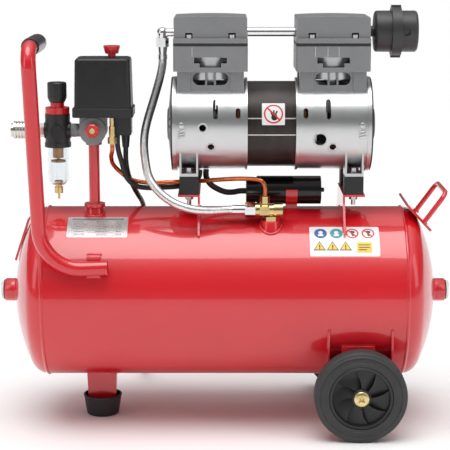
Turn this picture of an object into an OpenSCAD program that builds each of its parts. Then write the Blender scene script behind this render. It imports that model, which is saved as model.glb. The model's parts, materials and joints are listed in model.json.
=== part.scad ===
/* [Receiver] */
// Outer radius of the tank
tank_r = 117.5; // [116.5:0.5:118]
// Half length of the straight barrel between the two seams
tank_half = 245; // [243:1:246]
// Depth of each dished head
head_depth = 47; // [45:1:48]
// Wall thickness of the tank
tank_wall = 2.5; // [2:0.5:4]

/* [Wheels] */
// Radius of the wheels, and the height of their axle
wheel_r = 62.5; // [62:0.5:63]
// Distance from the tank's middle to the wheels, along the tank
wheel_x = 182; // [180:1:184]
// Distance from the tank's middle plane to each wheel's middle plane
wheel_y = 125; // [124.5:0.5:126]

/* [Pump] */
// Height of the motor shaft
pump_z = 414.5; // [414:0.5:415]
// Outer radius of the motor housings
housing_r = 62; // [61.5:0.5:62]
// Radius of each cylinder bore
bore_r = 31.85; // [30:0.05:32]
// Crank throw, half of the stroke
crank = 8; // [6:0.5:8]

/* [Controls] */
// Travel of the on/off button
button_travel = 4.5; // [3:0.5:5]
// Radius of the quick coupler's bore
coupler_bore_r = 5; // [4:0.5:5.5]

/* [Mains cord] */
// Diameter of the mains cord
cord_d = 7; // [6.5:0.5:7]

/* [Hidden] */
$fn = 64;

red = "#c8102e";
dark = "#262626";
alloy = "#c9ccd0";
casting = "#6f7275";
steel = "#b8babd";
brass = "#c9a24a";

// Receiver
tank_z = 180;
knuckle_r = 25;
knuckle_c = tank_r - knuckle_r;
crown_r = (pow(knuckle_c, 2) + pow(head_depth, 2) - pow(knuckle_r, 2)) / (2 * (head_depth - knuckle_r));
crown_c = tank_half + head_depth - crown_r;
tank_end = tank_half + head_depth;
boss_end = tank_end + 16;
riser_x = -179;
riser_y = -25;
riser_bung_top = 303;
check_x = 62;
check_y = -58;
check_bung_top = 290;
drain_x = 160;

// Stand
leg_x = -174;
axle_hole_r = 6.1;
bolt_r = 6;

// Pump: u runs outwards along the shaft from the pump's middle
pump_x = 63;
cylinder_u = 82.5;
stator_u = 32.5;
housing_u = 134;
mount_u = 112;
mount_y = 38;
saddle_top = 323.5;
isolator_top = 348.4;
shaft_r = 7.5;
block_bottom = 490;
block_top = 523.6;
plate_top = 528;
ledge_y = 43;
crest = 1.5;
head_top = 563.5;
rod_length = 99.8;

// Discharge line
hose_r = 5.7;
elbow_x = -85.5;
elbow_z = 539;
valve_z = 304;
hose_route = [[-85.5, 0, 503], [-85.5, 0, 500], [-85.5, 0, 497], [-87.2, -2, 486], [-91.8, -6, 468],
    [-98, -12, 447], [-105, -20, 424], [-109, -28, 406], [-110, -36, 388], [-108, -44, 369],
    [-104, -52, 351], [-95, -60, 336], [-81, -67, 323], [-63, -72.5, 313], [-42, -73, 307],
    [-24, -68.5, 304.6], [-10, -63, 304], [-1, -59.4, 304], [5, -58, 304], [7.5, -58, 304],
    [10, -58, 304]];
tube_route = [[54, -58, 323], [54, -58, 335], [50, -57, 343], [40, -52, 345], [20, -41, 344],
    [-5, -29, 341], [-30, -21.5, 338], [-50, -20, 337], [-75, -18, 335.5], [-100, -15, 334],
    [-128, -14.5, 338], [-144, -18, 350], [-153, -27, 362], [-154.5, -40, 374], [-152.5, -49, 383],
    [-152, -51, 388], [-152, -51, 390.5], [-152, -51, 393]];
motor_route = [[-146, -34, 404], [-146, -32, 386], [-141, -28, 364], [-134.5, -25, 343],
    [-122, -21.5, 331], [-104, -17, 327.5], [-86, -13.5, 327.5], [-62, -12, 329], [-45, -12, 333],
    [-36, -12, 342], [-34.5, -12, 352]];
capacitor_route = [[-26, -8, 352], [-26, -8, 342], [-21, -7, 332], [-12, -5, 325], [0, -2, 319.5],
    [11, 1, 318.5], [19, 2.7, 319.7], [25, 3, 320], [27, 3, 320], [29, 3, 320]];

// Pressure switch and regulator
switch_x = -164.6;
button_x = -153;
button_y = -25;
cover_top = 507.8;
manifold_z = 409;
safety_x = -178;
safety_z = 412;
regulator_x = -228;
regulator_y = -25;
air_z = 408.5;
gallery_r = 4.5;

// Mains cord: from its gland, over the back of the tank to the floor and into its coil
cord_r = cord_d / 2;
cord_route = [[-136, -18, 384], [-136, -17, 365], [-133.5, -8.5, 345], [-128, 5, 327],
    [-122, 23, 311], [-118, 46, 298], [-116, 71, 281], [-115, 95, 259], [-114, 112, 230],
    [-114, 123, 195], [-114, 129, 160], [-115, 137, 120], [-117, 150, 80], [-120, 170, 45],
    [-124, 192, 19], [-127, 212, 6], [-129, 230, 3.5], [-130, 243, 3.5], [-130, 255, 3.5]];
tail_route = [[-84.5, 297, 9.6], [-70, 297, 9.8], [-55, 294, 11.5], [-40, 288, 15],
    [-25, 280, 18.5], [-12, 276, 19.2], [0, 275, 19.2]];
coil_x = -84.5;
coil_y = 255;
coil_inner = 28;
coil_outer = 49;
coil_height = 13.2;
plug_y = 275;
plug_z = 19.2;

// ---- shapes that repeat ----

module xcyl(r, x0, x1, y = 0, z = 0) translate([x0, y, z]) rotate([0, 90, 0]) cylinder(r = r, h = x1 - x0);
module ycyl(r, y0, y1, x = 0, z = 0) translate([x, y1, z]) rotate([90, 0, 0]) cylinder(r = r, h = y1 - y0);
module zcyl(r, z0, z1, x = 0, y = 0) translate([x, y, z0]) cylinder(r = r, h = z1 - z0);
module xhex(flats, x0, x1, y, z)
    translate([x0, y, z]) rotate([0, 90, 0]) cylinder(d = flats / cos(30), h = x1 - x0, $fn = 6);
module yhex(flats, y0, y1, x, z)
    translate([x, y1, z]) rotate([90, 0, 0]) cylinder(d = flats / cos(30), h = y1 - y0, $fn = 6);
module zhex(flats, z0, z1, x, y)
    translate([x, y, z0]) cylinder(d = flats / cos(30), h = z1 - z0, $fn = 6);
module span(low, high) translate(low) cube(high - low);

// A rectangle w by h, centred, with round corners of radius r
module soft_square(w, h, r) {
    square([w - 2 * r, h], center = true);
    square([w, h - 2 * r], center = true);
    for (x = [-1, 1], y = [-1, 1]) translate([x * (w / 2 - r), y * (h / 2 - r)]) circle(r);
}

// A soft_square block between two corners, its round corners upright
module soft_block(low, high, r)
    translate([(low[0] + high[0]) / 2, (low[1] + high[1]) / 2, low[2]])
        linear_extrude(high[2] - low[2]) soft_square(high[0] - low[0], high[1] - low[1], r);

// A slot with round ends, cut along Y, its middle at x, z
module yslot(w, h, y0, y1, x, z) {
    for (s = [-1, 1]) ycyl(w / 2, y0, y1, x, z + s * (h - w) / 2);
    span([x - w / 2, y0, z - (h - w) / 2], [x + w / 2, y1, z + (h - w) / 2]);
}

module at_both_ends() for (s = [0, 1]) translate([pump_x, 0, 0]) mirror([s, 0, 0]) children();
module front_and_back() for (s = [0, 1]) mirror([0, s, 0]) children();
module left_and_right() for (s = [0, 1]) mirror([s, 0, 0]) children();

// A round bar that starts at the origin along +Z and takes each step in turn:
// ["line", length] or ["bend", radius, angle, roll about its own axis]
module tube_run(steps, r, i = 0) {
    if (i < len(steps)) {
        s = steps[i];
        if (s[0] == "line") {
            cylinder(r = r, h = s[1]);
            translate([0, 0, s[1]]) tube_run(steps, r, i + 1);
        } else {
            rotate([0, 0, s[3]]) {
                translate([s[1], 0, 0]) rotate([90, 0, 180]) rotate_extrude(angle = s[2])
                    translate([s[1], 0]) circle(r);
                translate([s[1], 0, 0]) rotate([0, s[2], 0]) translate([-s[1], 0, 0])
                    tube_run(steps, r, i + 1);
            }
        }
    }
}

// A smooth curve through the points of a route, with n steps between two points
function curve_at(a, b, c, d, t) = 0.5 * ((2 * b) + (c - a) * t + (2 * a - 5 * b + 4 * c - d) * t * t
    + (3 * b - a - 3 * c + d) * t * t * t);
function smooth(p, n) = [for (i = [0:len(p) - 2], k = [0:n - 1])
    curve_at(p[max(i - 1, 0)], p[i], p[i + 1], p[min(i + 2, len(p) - 1)], k / n), p[len(p) - 1]];
function unit(v) = v / norm(v);
function heading(p, i) = unit(p[min(i + 1, len(p) - 1)] - p[max(i - 1, 0)]);
// A side direction at each point, carried along the curve without twist
function sides_of(p, side, i = 0) = i == len(p) ? [] :
    let (t = heading(p, i), s = unit(side - (side * t) * t)) concat([s], sides_of(p, s, i + 1));

// A cable or pipe of radius r along the points p
module sweep(p, r, sides = 8) {
    s = sides_of(p, abs(heading(p, 0)[0]) < 0.9 ? [1, 0, 0] : [0, 1, 0]);
    ring_points = [for (i = [0:len(p) - 1], k = [0:sides - 1])
        let (t = heading(p, i), a = 360 * k / sides) p[i] + r * (cos(a) * s[i] + sin(a) * cross(t, s[i]))];
    walls = [for (i = [0:len(p) - 2], k = [0:sides - 1])
        let (a = i * sides + k, b = i * sides + (k + 1) % sides) each [[a, a + sides, b], [b, a + sides, b + sides]]];
    first = [for (k = [0:sides - 1]) k];
    last = [for (k = [sides - 1:-1:0]) (len(p) - 1) * sides + k];
    polyhedron(ring_points, concat(walls, [first, last]), convexity = 8);
}

// ---- receiver ----

// Half of the tank's outline, inset by t: a barrel with torispherical heads
module tank_outline(t) {
    translate([0, -tank_half]) square([tank_r - t, 2 * tank_half]);
    for (s = [0, 1]) mirror([0, s]) {
        translate([knuckle_c, tank_half]) circle(knuckle_r - t);
        intersection() {
            translate([0, crown_c]) circle(crown_r - t);
            polygon([[0, crown_c], [1.5 * knuckle_c, crown_c + 1.5 * (tank_half - crown_c)],
                [0, crown_c + 1.5 * (tank_half - crown_c)]]);
        }
    }
}

module tank_solid(t = 0) translate([0, 0, tank_z]) rotate([0, 90, 0]) rotate_extrude() tank_outline(t);

module air_tank() color(red) difference() {
    union() {
        difference() {
            tank_solid();
            tank_solid(tank_wall);
        }
        for (s = [-1, 1]) translate([s * tank_half, 0, tank_z]) rotate([0, 90, 0])
            rotate_extrude() translate([tank_r - 0.4, 0]) circle(1.8);
        left_and_right() xcyl(16, tank_end - 2.4, boss_end, 0, tank_z);
        zcyl(12.5, 290, riser_bung_top, riser_x, riser_y);
        zcyl(13, 276, check_bung_top, check_x, check_y);
        zcyl(11, 52, 64, drain_x, 0);
    }
    left_and_right() xcyl(9, tank_end - 8, boss_end + 1, 0, tank_z);
    zcyl(6, 280, riser_bung_top + 1, riser_x, riser_y);
    zcyl(6, 265, check_bung_top + 1, check_x, check_y);
    zcyl(5, 50, 70, drain_x, 0);
}

module end_plugs() color(steel) left_and_right() {
    xhex(24, boss_end + 0.2, boss_end + 5, 0, tank_z);
    xcyl(8.9, boss_end - 12, boss_end + 0.2, 0, tank_z);
}

module saddles() color(red) {
    at_both_ends() difference() {
        union() {
            span([97, -52, saddle_top - 3], [127, 52, saddle_top]);
            translate([97, 0, 0]) rotate([90, 0, 90]) linear_extrude(3)
                polygon([[-52, saddle_top], [52, saddle_top], [52, 311], [78, 272], [-78, 272], [-52, 311]]);
        }
        front_and_back() zcyl(3.3, saddle_top - 4, saddle_top + 1, mount_u, mount_y);
        xcyl(tank_r + 0.05, 90, 110, 0, tank_z);
    }
    difference() {
        union() {
            intersection() {
                xcyl(21.8, 84, 100, 3, 321.5);
                span([84, -30, 290], [100, 30, 325]);
            }
            span([84, -9, 290], [100, 15, 303]);
        }
        xcyl(19.7, 80, 104, 3, 321.5);
        xcyl(tank_r + 0.05, 80, 104, 0, tank_z);
    }
}

// A channel, open at the back, its plate towards -Y
module front_leg() color(red) difference() {
    translate([leg_x, 9, 0]) rotate([90, 0, 0]) linear_extrude(18)
        polygon([[-19, 13.1], [19, 13.1], [21.8, 80], [-21.8, 80]]);
    translate([leg_x, 10, 0]) rotate([90, 0, 0]) linear_extrude(16.5)
        polygon([[-16, 16], [16, 16], [18.8, 81], [-18.8, 81]]);
    xcyl(tank_r + 0.05, -210, -140, 0, tank_z);
}

module foot_pad() color(dark) translate([leg_x, 0, 0]) rotate_extrude()
    polygon([[0, 0], [21, 0], [22.5, 1.5], [27, 29], [24.6, 29], [21.6, 13], [0, 13]]);

module axle_bracket() color(red) difference() {
    union() {
        for (x = [wheel_x - 44, wheel_x + 41]) translate([x, 0, 0]) rotate([90, 0, 90]) linear_extrude(3)
            polygon([[-114, 152], [-114, 118], [-107, 104], [-107, 46], [107, 46], [107, 104], [114, 118],
                [114, 152]]);
        front_and_back() {
            span([wheel_x - 41, -107, 46], [wheel_x + 41, -34, 49]);
            span([wheel_x - 41, -107, 46], [wheel_x + 41, -104, 100]);
            span([wheel_x - 25, -107, 95], [wheel_x + 20, -104, 126]);
        }
    }
    xcyl(tank_r + 0.05, 100, 260, 0, tank_z);
    span([wheel_x - 50, -98, 52], [wheel_x + 50, 98, 58]);
    ycyl(axle_hole_r, -110, 110, wheel_x, wheel_r);
}

module axle_bolts() color("#d9c77a") front_and_back() difference() {
    union() {
        ycyl(10.5, -144.5, -141, wheel_x, wheel_r);
        ycyl(bolt_r, -141, -90, wheel_x, wheel_r);
        yhex(18, -103.8, -94, wheel_x, wheel_r);
    }
    for (a = [45, 135]) translate([wheel_x, -144.5, wheel_r]) rotate([0, a, 0]) cube([9, 3, 1.8], center = true);
}

module tyre(side) color(dark) translate([wheel_x, side * wheel_y, wheel_r]) rotate([90, 0, 0])
    rotate_extrude() difference() {
        union() {
            translate([53, 0]) soft_square(2 * (wheel_r - 53), 27, 5);
            translate([43, -14.5]) square([13, 29]);
            for (r = [47.5, 56], y = [-1, 1]) translate([r, y * 13]) circle(1.8);
        }
        translate([30, -20]) square([13, 40]);
        for (y = [-1, 0, 1]) translate([wheel_r + 0.6, y * 7]) circle(1.6);
    }

module hub(side) color(dark) translate([wheel_x, side * wheel_y, wheel_r]) rotate([90, 0, 0]) difference() {
    union() {
        difference() {
            translate([0, 0, -14]) cylinder(r = 42.9, h = 28);
            for (z = [-15, 3]) translate([0, 0, z]) cylinder(r = 39, h = 12);
        }
        translate([0, 0, -14.8]) cylinder(r = 11, h = 29.6);
        for (a = [0:45:315]) rotate([0, 0, a]) translate([8, -1.5, -10]) cube([33, 3, 20]);
    }
    translate([0, 0, -20]) cylinder(r = bolt_r + 0.06, h = 40);
}

// Point and slope where a flat plate rests against a head, at an angle above the tank's axis
function rest_at(a) = a > atan2(knuckle_c, tank_half - crown_c)
    ? [tank_half + knuckle_r * cos(a), knuckle_c + knuckle_r * sin(a)]
    : [crown_c + crown_r * cos(a), crown_r * sin(a)];
right_plate = 43;
left_plate = 18.5;

// The rod's bracket plate and rod at the right end, and a small hook plate at the left end
module carry_handle() color(red) {
    p = rest_at(right_plate);
    translate([p[0], 0, tank_z + p[1]]) rotate([0, -right_plate, 0]) span([0.05, -50, -24], [3.5, 50, 24]);
    front_and_back() translate([271, -46, 283.5]) rotate([0, 36, 0]) cylinder(r = 5, h = 3);
    translate([271, -46, 283.5]) rotate([0, 36, 0])
        tube_run([["line", 39], ["bend", 12, 90, 90], ["line", 68], ["bend", 12, 90, 0], ["line", 39]], 3.4);
    q = rest_at(left_plate);
    translate([-q[0], 0, tank_z + q[1]]) rotate([0, left_plate, 0]) span([-3.2, -16, -30], [-0.05, 16, 30]);
}

handle_y = -117;
handle_z = 235;
handle_x = -188.8;
handle_lean = 2.3;
lower_bend = 55;
upper_bend = 26;
upright = 212;
bar_x = handle_x - lower_bend * (cos(handle_lean) + sin(handle_lean)) - (upright + upper_bend) * sin(handle_lean);
bar_z = handle_z + lower_bend * (cos(handle_lean) - sin(handle_lean)) + (upright + upper_bend) * cos(handle_lean);

module handle_bar(r) translate([handle_x, handle_y, handle_z]) rotate([0, -90 - handle_lean, 0])
    translate([0, 0, -33]) tube_run([["line", 33], ["bend", lower_bend, 90, 0], ["line", upright],
        ["bend", upper_bend, 90, 90], ["line", 89]], r);

module pull_handle() color(red) difference() {
    union() {
        handle_bar(10);
        span([-184, -112, 222], [-166, -92, 250]);
    }
    handle_bar(8.4);
    xcyl(tank_r + 0.05, -210, -160, 0, tank_z);
}

module handle_grip() color(dark) difference() {
    ycyl(11.8, -88, 0.5, bar_x, bar_z);
    ycyl(10.05, -89, -1.5, bar_x, bar_z);
}

module drain_cock() color(brass) difference() {
    union() {
        zcyl(4.9, 51.9, 60, drain_x, 0);
        zhex(16, 38, 51.9, drain_x, 0);
    }
    zcyl(3.06, 37, 50, drain_x, 0);
}

module drain_tap() color(brass) {
    zcyl(3, 24, 49, drain_x, 0);
    zcyl(6, 30, 36, drain_x, 0);
    span([drain_x - 13, -1.5, 24], [drain_x + 13, 1.5, 34]);
}

// ---- pump mounts ----

module isolators() color(dark) at_both_ends() front_and_back() difference() {
    soft_block([mount_u - 13, -mount_y - 13, saddle_top + 0.1], [mount_u + 13, -mount_y + 13, isolator_top], 2);
    zcyl(3.2, saddle_top - 1, isolator_top + 1, mount_u, -mount_y);
}

module mount_bolts() color(steel) at_both_ends() front_and_back() {
    zcyl(3, 308, 354, mount_u, -mount_y);
    zhex(10, saddle_top - 8.2, saddle_top - 3.1, mount_u, -mount_y);
    zcyl(6, 352.7, 354, mount_u, -mount_y);
    zhex(10, 354, 359, mount_u, -mount_y);
}

// ---- motor and pump ----

module housing_feet() front_and_back() {
    span([99.5, -52, 348.5], [124.5, -18, 352.6]);
    for (u = [99.5, 122]) span([u, -52, 348.5], [u + 2.5, -20, 384]);
}

// A long pressed rib that stands 1 mm proud of the housing
module pressed_rib(w, h, u, z) intersection() {
    xcyl(housing_r + 1, stator_u + 5, housing_u - 6, 0, pump_z);
    yslot(w, h, -70, -50, u, z);
}

module housing_shell() difference() {
    union() {
        xcyl(housing_r, stator_u + 0.1, housing_u, 0, pump_z);
        xcyl(housing_r + 3, housing_u - 5, housing_u, 0, pump_z);
        xcyl(housing_r + 1.5, stator_u + 0.1, stator_u + 3.5, 0, pump_z);
        pressed_rib(7.3, 24.5, 60, 434);
        pressed_rib(7.3, 25.8, 45.4, 399);
        housing_feet();
    }
    xcyl(54, stator_u - 1, 56, 0, pump_z);
    difference() {
        xcyl(58, 61, housing_u + 1, 0, pump_z);
        xcyl(23, 55, 67, 0, pump_z);
    }
    xcyl(10, 50, 60, 0, pump_z);
    xcyl(17.55, 56, 70, 0, pump_z);
    zcyl(31, pump_z + 40, pump_z + 70, cylinder_u, 0);
    front_and_back() {
        zcyl(3.3, 340, 360, mount_u, -mount_y);
        yslot(6.6, 26, -70, -40, 75.8, 440.5);
        yslot(6.3, 13.4, -70, -40, 45.4, 435);
    }
    ycyl(4.4, -70, -40, 82, 389.5);
}

// The left housing has a port with a raised rim, the right one a wide port
module pump_housings() color(alloy) difference() {
    union() {
        at_both_ends() housing_shell();
        ycyl(7, -63.5, -59, pump_x - 93, 416);
    }
    ycyl(4.6, -70, -40, pump_x - 93, 416);
    ycyl(8.1, -70, -40, pump_x + 65, 400);
}

module stator() color("#3a2f2b") difference() {
    xcyl(58.5, pump_x - stator_u, pump_x + stator_u, 0, pump_z);
    xcyl(34, pump_x - 40, pump_x + 40, 0, pump_z);
    for (a = [0:30:330]) translate([pump_x, 0, pump_z]) rotate([a, 0, 0]) xcyl(5, -40, 40, 0, 42);
    for (a = [-13.5, 8.3]) translate([pump_x, 0, pump_z]) rotate([a, 0, 0])
        span([-40, -59, -0.6], [40, -57.4, 0.6]);
}

module windings() color("#b0682c") at_both_ends() translate([stator_u + 0.1, 0, pump_z]) rotate([0, 90, 0])
    rotate_extrude() translate([43, 9]) soft_square(14, 18, 5);

module bearings() color(steel) at_both_ends() difference() {
    xcyl(17.5, 56.1, 66.9, 0, pump_z);
    xcyl(shaft_r + 0.06, 50, 70, 0, pump_z);
    for (u = [55, 66.1]) difference() {
        xcyl(14.5, u, u + 1.9, 0, pump_z);
        xcyl(10.5, u - 1, u + 3, 0, pump_z);
    }
}

module motor_rotor() color(steel) {
    xcyl(shaft_r, pump_x - 116, pump_x + 116, 0, pump_z);
    xcyl(33.4, pump_x - 30, pump_x + 30, 0, pump_z);
    at_both_ends() xcyl(27, 29.9, 35, 0, pump_z);
}

// Crank disc and counterweight; the disc stands beside the rod's big end
module eccentric(up) difference() {
    union() {
        xcyl(17, 70, 75.4, 0, pump_z + up * crank);
        xcyl(13, 68.4, 75.4, 0, pump_z);
        intersection() {
            xcyl(36, 70, 75.4, 0, pump_z);
            translate([0, 0, pump_z - up * 25]) cube([400, 80, 40], center = true);
        }
    }
    xcyl(shaft_r + 0.05, 60, 80, 0, pump_z);
}

module eccentrics() color(steel) {
    translate([pump_x, 0, 0]) mirror([1, 0, 0]) eccentric(1);
    translate([pump_x, 0, 0]) eccentric(-1);
}

module cooling_fans() color(dark) at_both_ends() difference() {
    union() {
        xcyl(12, 95.5, 111, 0, pump_z);
        for (a = [0:45:315]) translate([103, 0, pump_z]) rotate([a, 0, 0]) translate([0, 0, 30])
            rotate([0, 0, 35]) cube([2, 14, 40], center = true);
    }
    xcyl(shaft_r + 0.05, 90, 115, 0, pump_z);
}

// Wobble piston: crown, rod and big end in one, with its crown at height top
module piston(top) difference() {
    union() {
        zcyl(bore_r - 0.45, top - 6, top, cylinder_u, 0);
        span([cylinder_u - 5, -7, top - rod_length], [cylinder_u + 5, 7, top - 6]);
        xcyl(25, cylinder_u - 6, cylinder_u + 6, 0, top - rod_length);
    }
    xcyl(17.5, cylinder_u - 10, cylinder_u + 10, 0, top - rod_length);
}

module piston_left() color(alloy) translate([pump_x, 0, 0]) mirror([1, 0, 0]) piston(pump_z + rod_length + crank);
module piston_right() color(alloy) translate([pump_x, 0, 0]) piston(pump_z + rod_length - crank);

module cylinder_sleeves() color(steel) at_both_ends() difference() {
    zcyl(35, 478, block_top, cylinder_u, 0);
    zcyl(bore_r, 470, block_top + 1, cylinder_u, 0);
}

// Oval window through the crankcase neck, with two ribs left standing in it
module window_outline() difference() {
    union() {
        square([31, 17], center = true);
        for (x = [-15.5, 15.5]) translate([x, 0]) circle(8.5);
    }
    for (x = [-6, 6]) translate([x, 0]) square([2.6, 20], center = true);
}

module cylinder_blocks() color(casting) at_both_ends() difference() {
    union() {
        soft_block([cylinder_u - 50, -48, block_bottom], [cylinder_u + 50, 48, block_top], 4);
        span([cylinder_u - 43, -39, 455], [cylinder_u + 43, 39, block_bottom + 1]);
        for (u = [-45, 28], y = [0, 1]) mirror([0, y, 0])
            span([cylinder_u + u, -41, 455], [cylinder_u + u + 17, -20, block_bottom + 1]);
    }
    zcyl(35.05, 450, block_top + 1, cylinder_u, 0);
    xcyl(housing_r + 0.05, 0, 140, 0, pump_z);
    front_and_back() {
        translate([cylinder_u, -20, 479.5]) rotate([90, 0, 0]) linear_extrude(30) window_outline();
        span([cylinder_u - 22, -50, 501], [cylinder_u + 22, -20, 509]);
        span([cylinder_u - 14.5, -50, 495.4], [cylinder_u + 14.5, -20, 502]);
        for (u = [-28.8, 28.8]) zcyl(2.7, 500, block_top + 1, cylinder_u + u, -41);
    }
}

module valve_plates() color(dark) at_both_ends() difference() {
    soft_block([cylinder_u - 50, -48, block_top + 0.1], [cylinder_u + 50, 48, plate_top - 0.1], 4);
    for (u = [-28.8, 28.8], y = [-41, 41]) zcyl(2.7, 520, 530, cylinder_u + u, y);
    for (y = [-12, 12]) zcyl(5, 520, 530, cylinder_u, y);
}

module cylinder_heads() color(casting) at_both_ends() difference() {
    union() {
        soft_block([cylinder_u - 50, -48, plate_top], [cylinder_u + 50, 48, plate_top + 6.1], 4);
        translate([cylinder_u, ledge_y, plate_top + 6]) rotate([90, 0, 0]) linear_extrude(2 * ledge_y)
            intersection() {
                translate([0, 12.75]) soft_square(98.5, 33.5, 4);
                polygon([[50, 0], for (x = [50:-10:-50]) [x, 29.5 - crest * pow(x / 50, 2)], [-50, 0]]);
            }
    }
    front_and_back() for (u = [-28.8, 28.8]) {
        zcyl(2.7, 520, 540, cylinder_u + u, -41);
        span([cylinder_u + u - 5, -49, plate_top + 6], [cylinder_u + u + 5, -36, plate_top + 13.5]);
    }
    for (y = [-24, 24]) soft_block([cylinder_u - 36, y - 15, plate_top - 1], [cylinder_u + 36, y + 15, 552], 6);
    xcyl(4.5, 20, 150, 0, elbow_z);
}

module head_bolts() color(steel) at_both_ends() for (u = [-28.8, 28.8], y = [-41, 41]) {
    zcyl(2.5, 502, 535, cylinder_u + u, y);
    zcyl(4.2, plate_top + 6.15, plate_top + 11, cylinder_u + u, y);
}

module end_covers() color(dark) at_both_ends() difference() {
    translate([housing_u + 0.1, 0, pump_z]) rotate([0, 90, 0]) rotate_extrude()
        polygon([[56, 0], [housing_r + 2, 0], [housing_r + 2, 2], [24, 5.9], [20, 7.9], [0, 7.9],
            [0, 5], [18, 5], [24, 3], [56, 0.5]]);
    for (a = [0:15:345]) translate([0, 0, pump_z]) rotate([a, 0, 0])
        translate([0, 0, 28]) span([130, -1.5, 0], [145, 1.5, 24]);
}

module transfer_pipe() color("#d7dadd") difference() {
    xcyl(6.5, pump_x - stator_u + 0.1, pump_x + stator_u - 0.1, 0, elbow_z + 1);
    xcyl(4.5, pump_x - 40, pump_x + 40, 0, elbow_z + 1);
}

filter_x = pump_x + cylinder_u + 50;
module air_filter() color(casting) translate([filter_x, 0, 541]) rotate([0, 90, 0]) difference() {
    union() {
        translate([0, 0, 0.1]) cylinder(r = 7.5, h = 9);
        rotate_extrude() {
            translate([0, 7.5]) square([24, 58.5]);
            translate([0, 11.5]) square([28, 50.5]);
            for (z = [11.5, 62]) translate([24, z]) circle(4);
            translate([0, 30.5]) square([33.5, 13]);
        }
        for (a = [0, 180]) rotate([0, 0, a]) translate([28, -5, 30.5]) cube([7.5, 10, 13]);
    }
    translate([0, 0, -1]) cylinder(r = 4.5, h = 20);
    translate([0, 0, 11]) cylinder(r = 24, h = 51);
    rotate([0, 0, 90]) translate([-24, 0, 50]) rotate([0, -90, 0]) cylinder(r = 5, h = 10);
}

// ---- discharge line ----

module hose_fittings() color("#d7dadd") {
    xcyl(5.5, elbow_x, pump_x - cylinder_u - 50.1, 0, elbow_z);
    translate([elbow_x, 0, elbow_z]) sphere(7.4);
    zcyl(6.8, 531, elbow_z, elbow_x, 0);
    zhex(15, 520, 532, elbow_x, 0);
    translate([elbow_x, 0, 509]) cylinder(r1 = 5.6, r2 = 6.9, h = 11);
    zcyl(6.5, 503.05, 509, elbow_x, 0);
    xcyl(6.6, 10.05, 28, check_y, valve_z);
    xhex(18, 27, 41, check_y, valve_z);
}

module braided_hose() color("#c4c6c8") sweep(smooth(hose_route, 3), hose_r, 12);

module check_valve() color(brass) {
    xcyl(9.5, 41.05, 48, check_y, valve_z);
    xhex(20, 47, 60, check_y, valve_z);
    xcyl(8, 60, 66, check_y, valve_z);
    xcyl(10, 66, 78, check_y, valve_z);
    zcyl(5.9, 282, valve_z, check_x, check_y);
    zhex(22, check_bung_top + 0.1, 296, check_x, check_y);
    zcyl(4.5, valve_z, 318, 54, check_y);
    zhex(12, 313, 322.9, 54, check_y);
}

module unloader_tube() color("#c06a3a") sweep(smooth(tube_route, 3), 3, 8);

// The safety valve on the manifold's face, and the unloader fitting under the switch base
module brass_fittings() color(brass) {
    yhex(14, -51, -44.1, safety_x, safety_z);
    ycyl(4, -66.2, -44.1, safety_x, safety_z);
    zhex(11, 393.1, 402, -152, -51);
    zcyl(4.5, 401, 417, -152, -51);
    zcyl(3, 416, 428.5, -152, -51);
}

module safety_knob() color(red) difference() {
    translate([safety_x, -55, safety_z]) rotate([90, 0, 0]) rotate_extrude()
        polygon([[4.4, 0], [7.6, 0], [9.2, 2], [9.2, 9.5], [7.6, 11], [4.4, 11]]);
    for (a = [0:30:330]) translate([safety_x, -60.5, safety_z]) rotate([0, a, 0]) translate([9.6, 0, 0])
        rotate([90, 0, 0]) cylinder(r = 0.9, h = 14, center = true);
}

module capacitor() color(dark) {
    xcyl(19.5, 44, 133, 3, 321.5);
    difference() {
        xcyl(17.5, 29.1, 44, 3, 321.5);
        xcyl(16, 31, 42, 3, 321.5);
    }
    xcyl(3, 133, 138, 3, 321.5);
}

module motor_cable() color(dark) {
    sweep(smooth(motor_route, 3), 3.5, 8);
    sweep(smooth(capacitor_route, 3), 4, 8);
}

// ---- pressure switch ----

module riser_pipe() color(red) difference() {
    union() {
        zcyl(14.5, riser_bung_top + 0.1, 308, riser_x, riser_y);
        zcyl(7.5, 306, 388.9, riser_x, riser_y);
        zcyl(5.9, 291, 304, riser_x, riser_y);
    }
    zcyl(4.5, 280, 400, riser_x, riser_y);
}

module manifold() color(casting) difference() {
    union() {
        zcyl(11, 389, 402, riser_x, riser_y);
        ycyl(18, -44, -6, riser_x, manifold_z);
        span([-197, -40, manifold_z], [-161, -10, 428.5]);
        xcyl(9, -203, -190, regulator_y, air_z);
        xhex(16, -209.6, -203, regulator_y, air_z);
    }
    zcyl(4.5, 380, 405, riser_x, riser_y);
    xcyl(gallery_r, -212, -180, regulator_y, air_z);
}

module switch_base() color(dark) soft_block([-205.5, -56, 428.6], [-123.7, 6, 441], 6);

// Tapered cover, hollow, with the button's hole in its top
module switch_cover() color(dark) difference() {
    hull() {
        soft_block([-203, -54.5, 441.1], [-126, 4.5, 442], 6, $fn = 32);
        soft_block([-202, -53, cover_top - 3], [-127, 3, cover_top - 2], 6, $fn = 32);
        soft_block([-200, -51, cover_top - 0.3], [-129, 1, cover_top], 6, $fn = 32);
    }
    soft_block([-199, -50, 440], [-130, 0, cover_top - 2.5], 4);
    zcyl(6, 500, 520, button_x, button_y);
}

module switch_button() color("#d4121f") translate([button_x, button_y, 0]) {
    rotate_extrude() polygon([[0, 494], [5.5, 494], [5.5, cover_top + button_travel + 0.5],
        [9, cover_top + button_travel + 0.5], [11.5, 522], [11, 523.5], [0, 522.5]]);
    zcyl(8, 490, 494, 0, 0);
}

// Gland block under the switch base, with the two tapered cable sleeves
module cable_glands() color(dark) {
    soft_block([-156, -46, 404], [-127, -8, 428.5], 3);
    translate([-136, -18, 384]) cylinder(r1 = 4.6, r2 = 6.5, h = 20.5);
}

// ---- filter regulator ----

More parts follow.
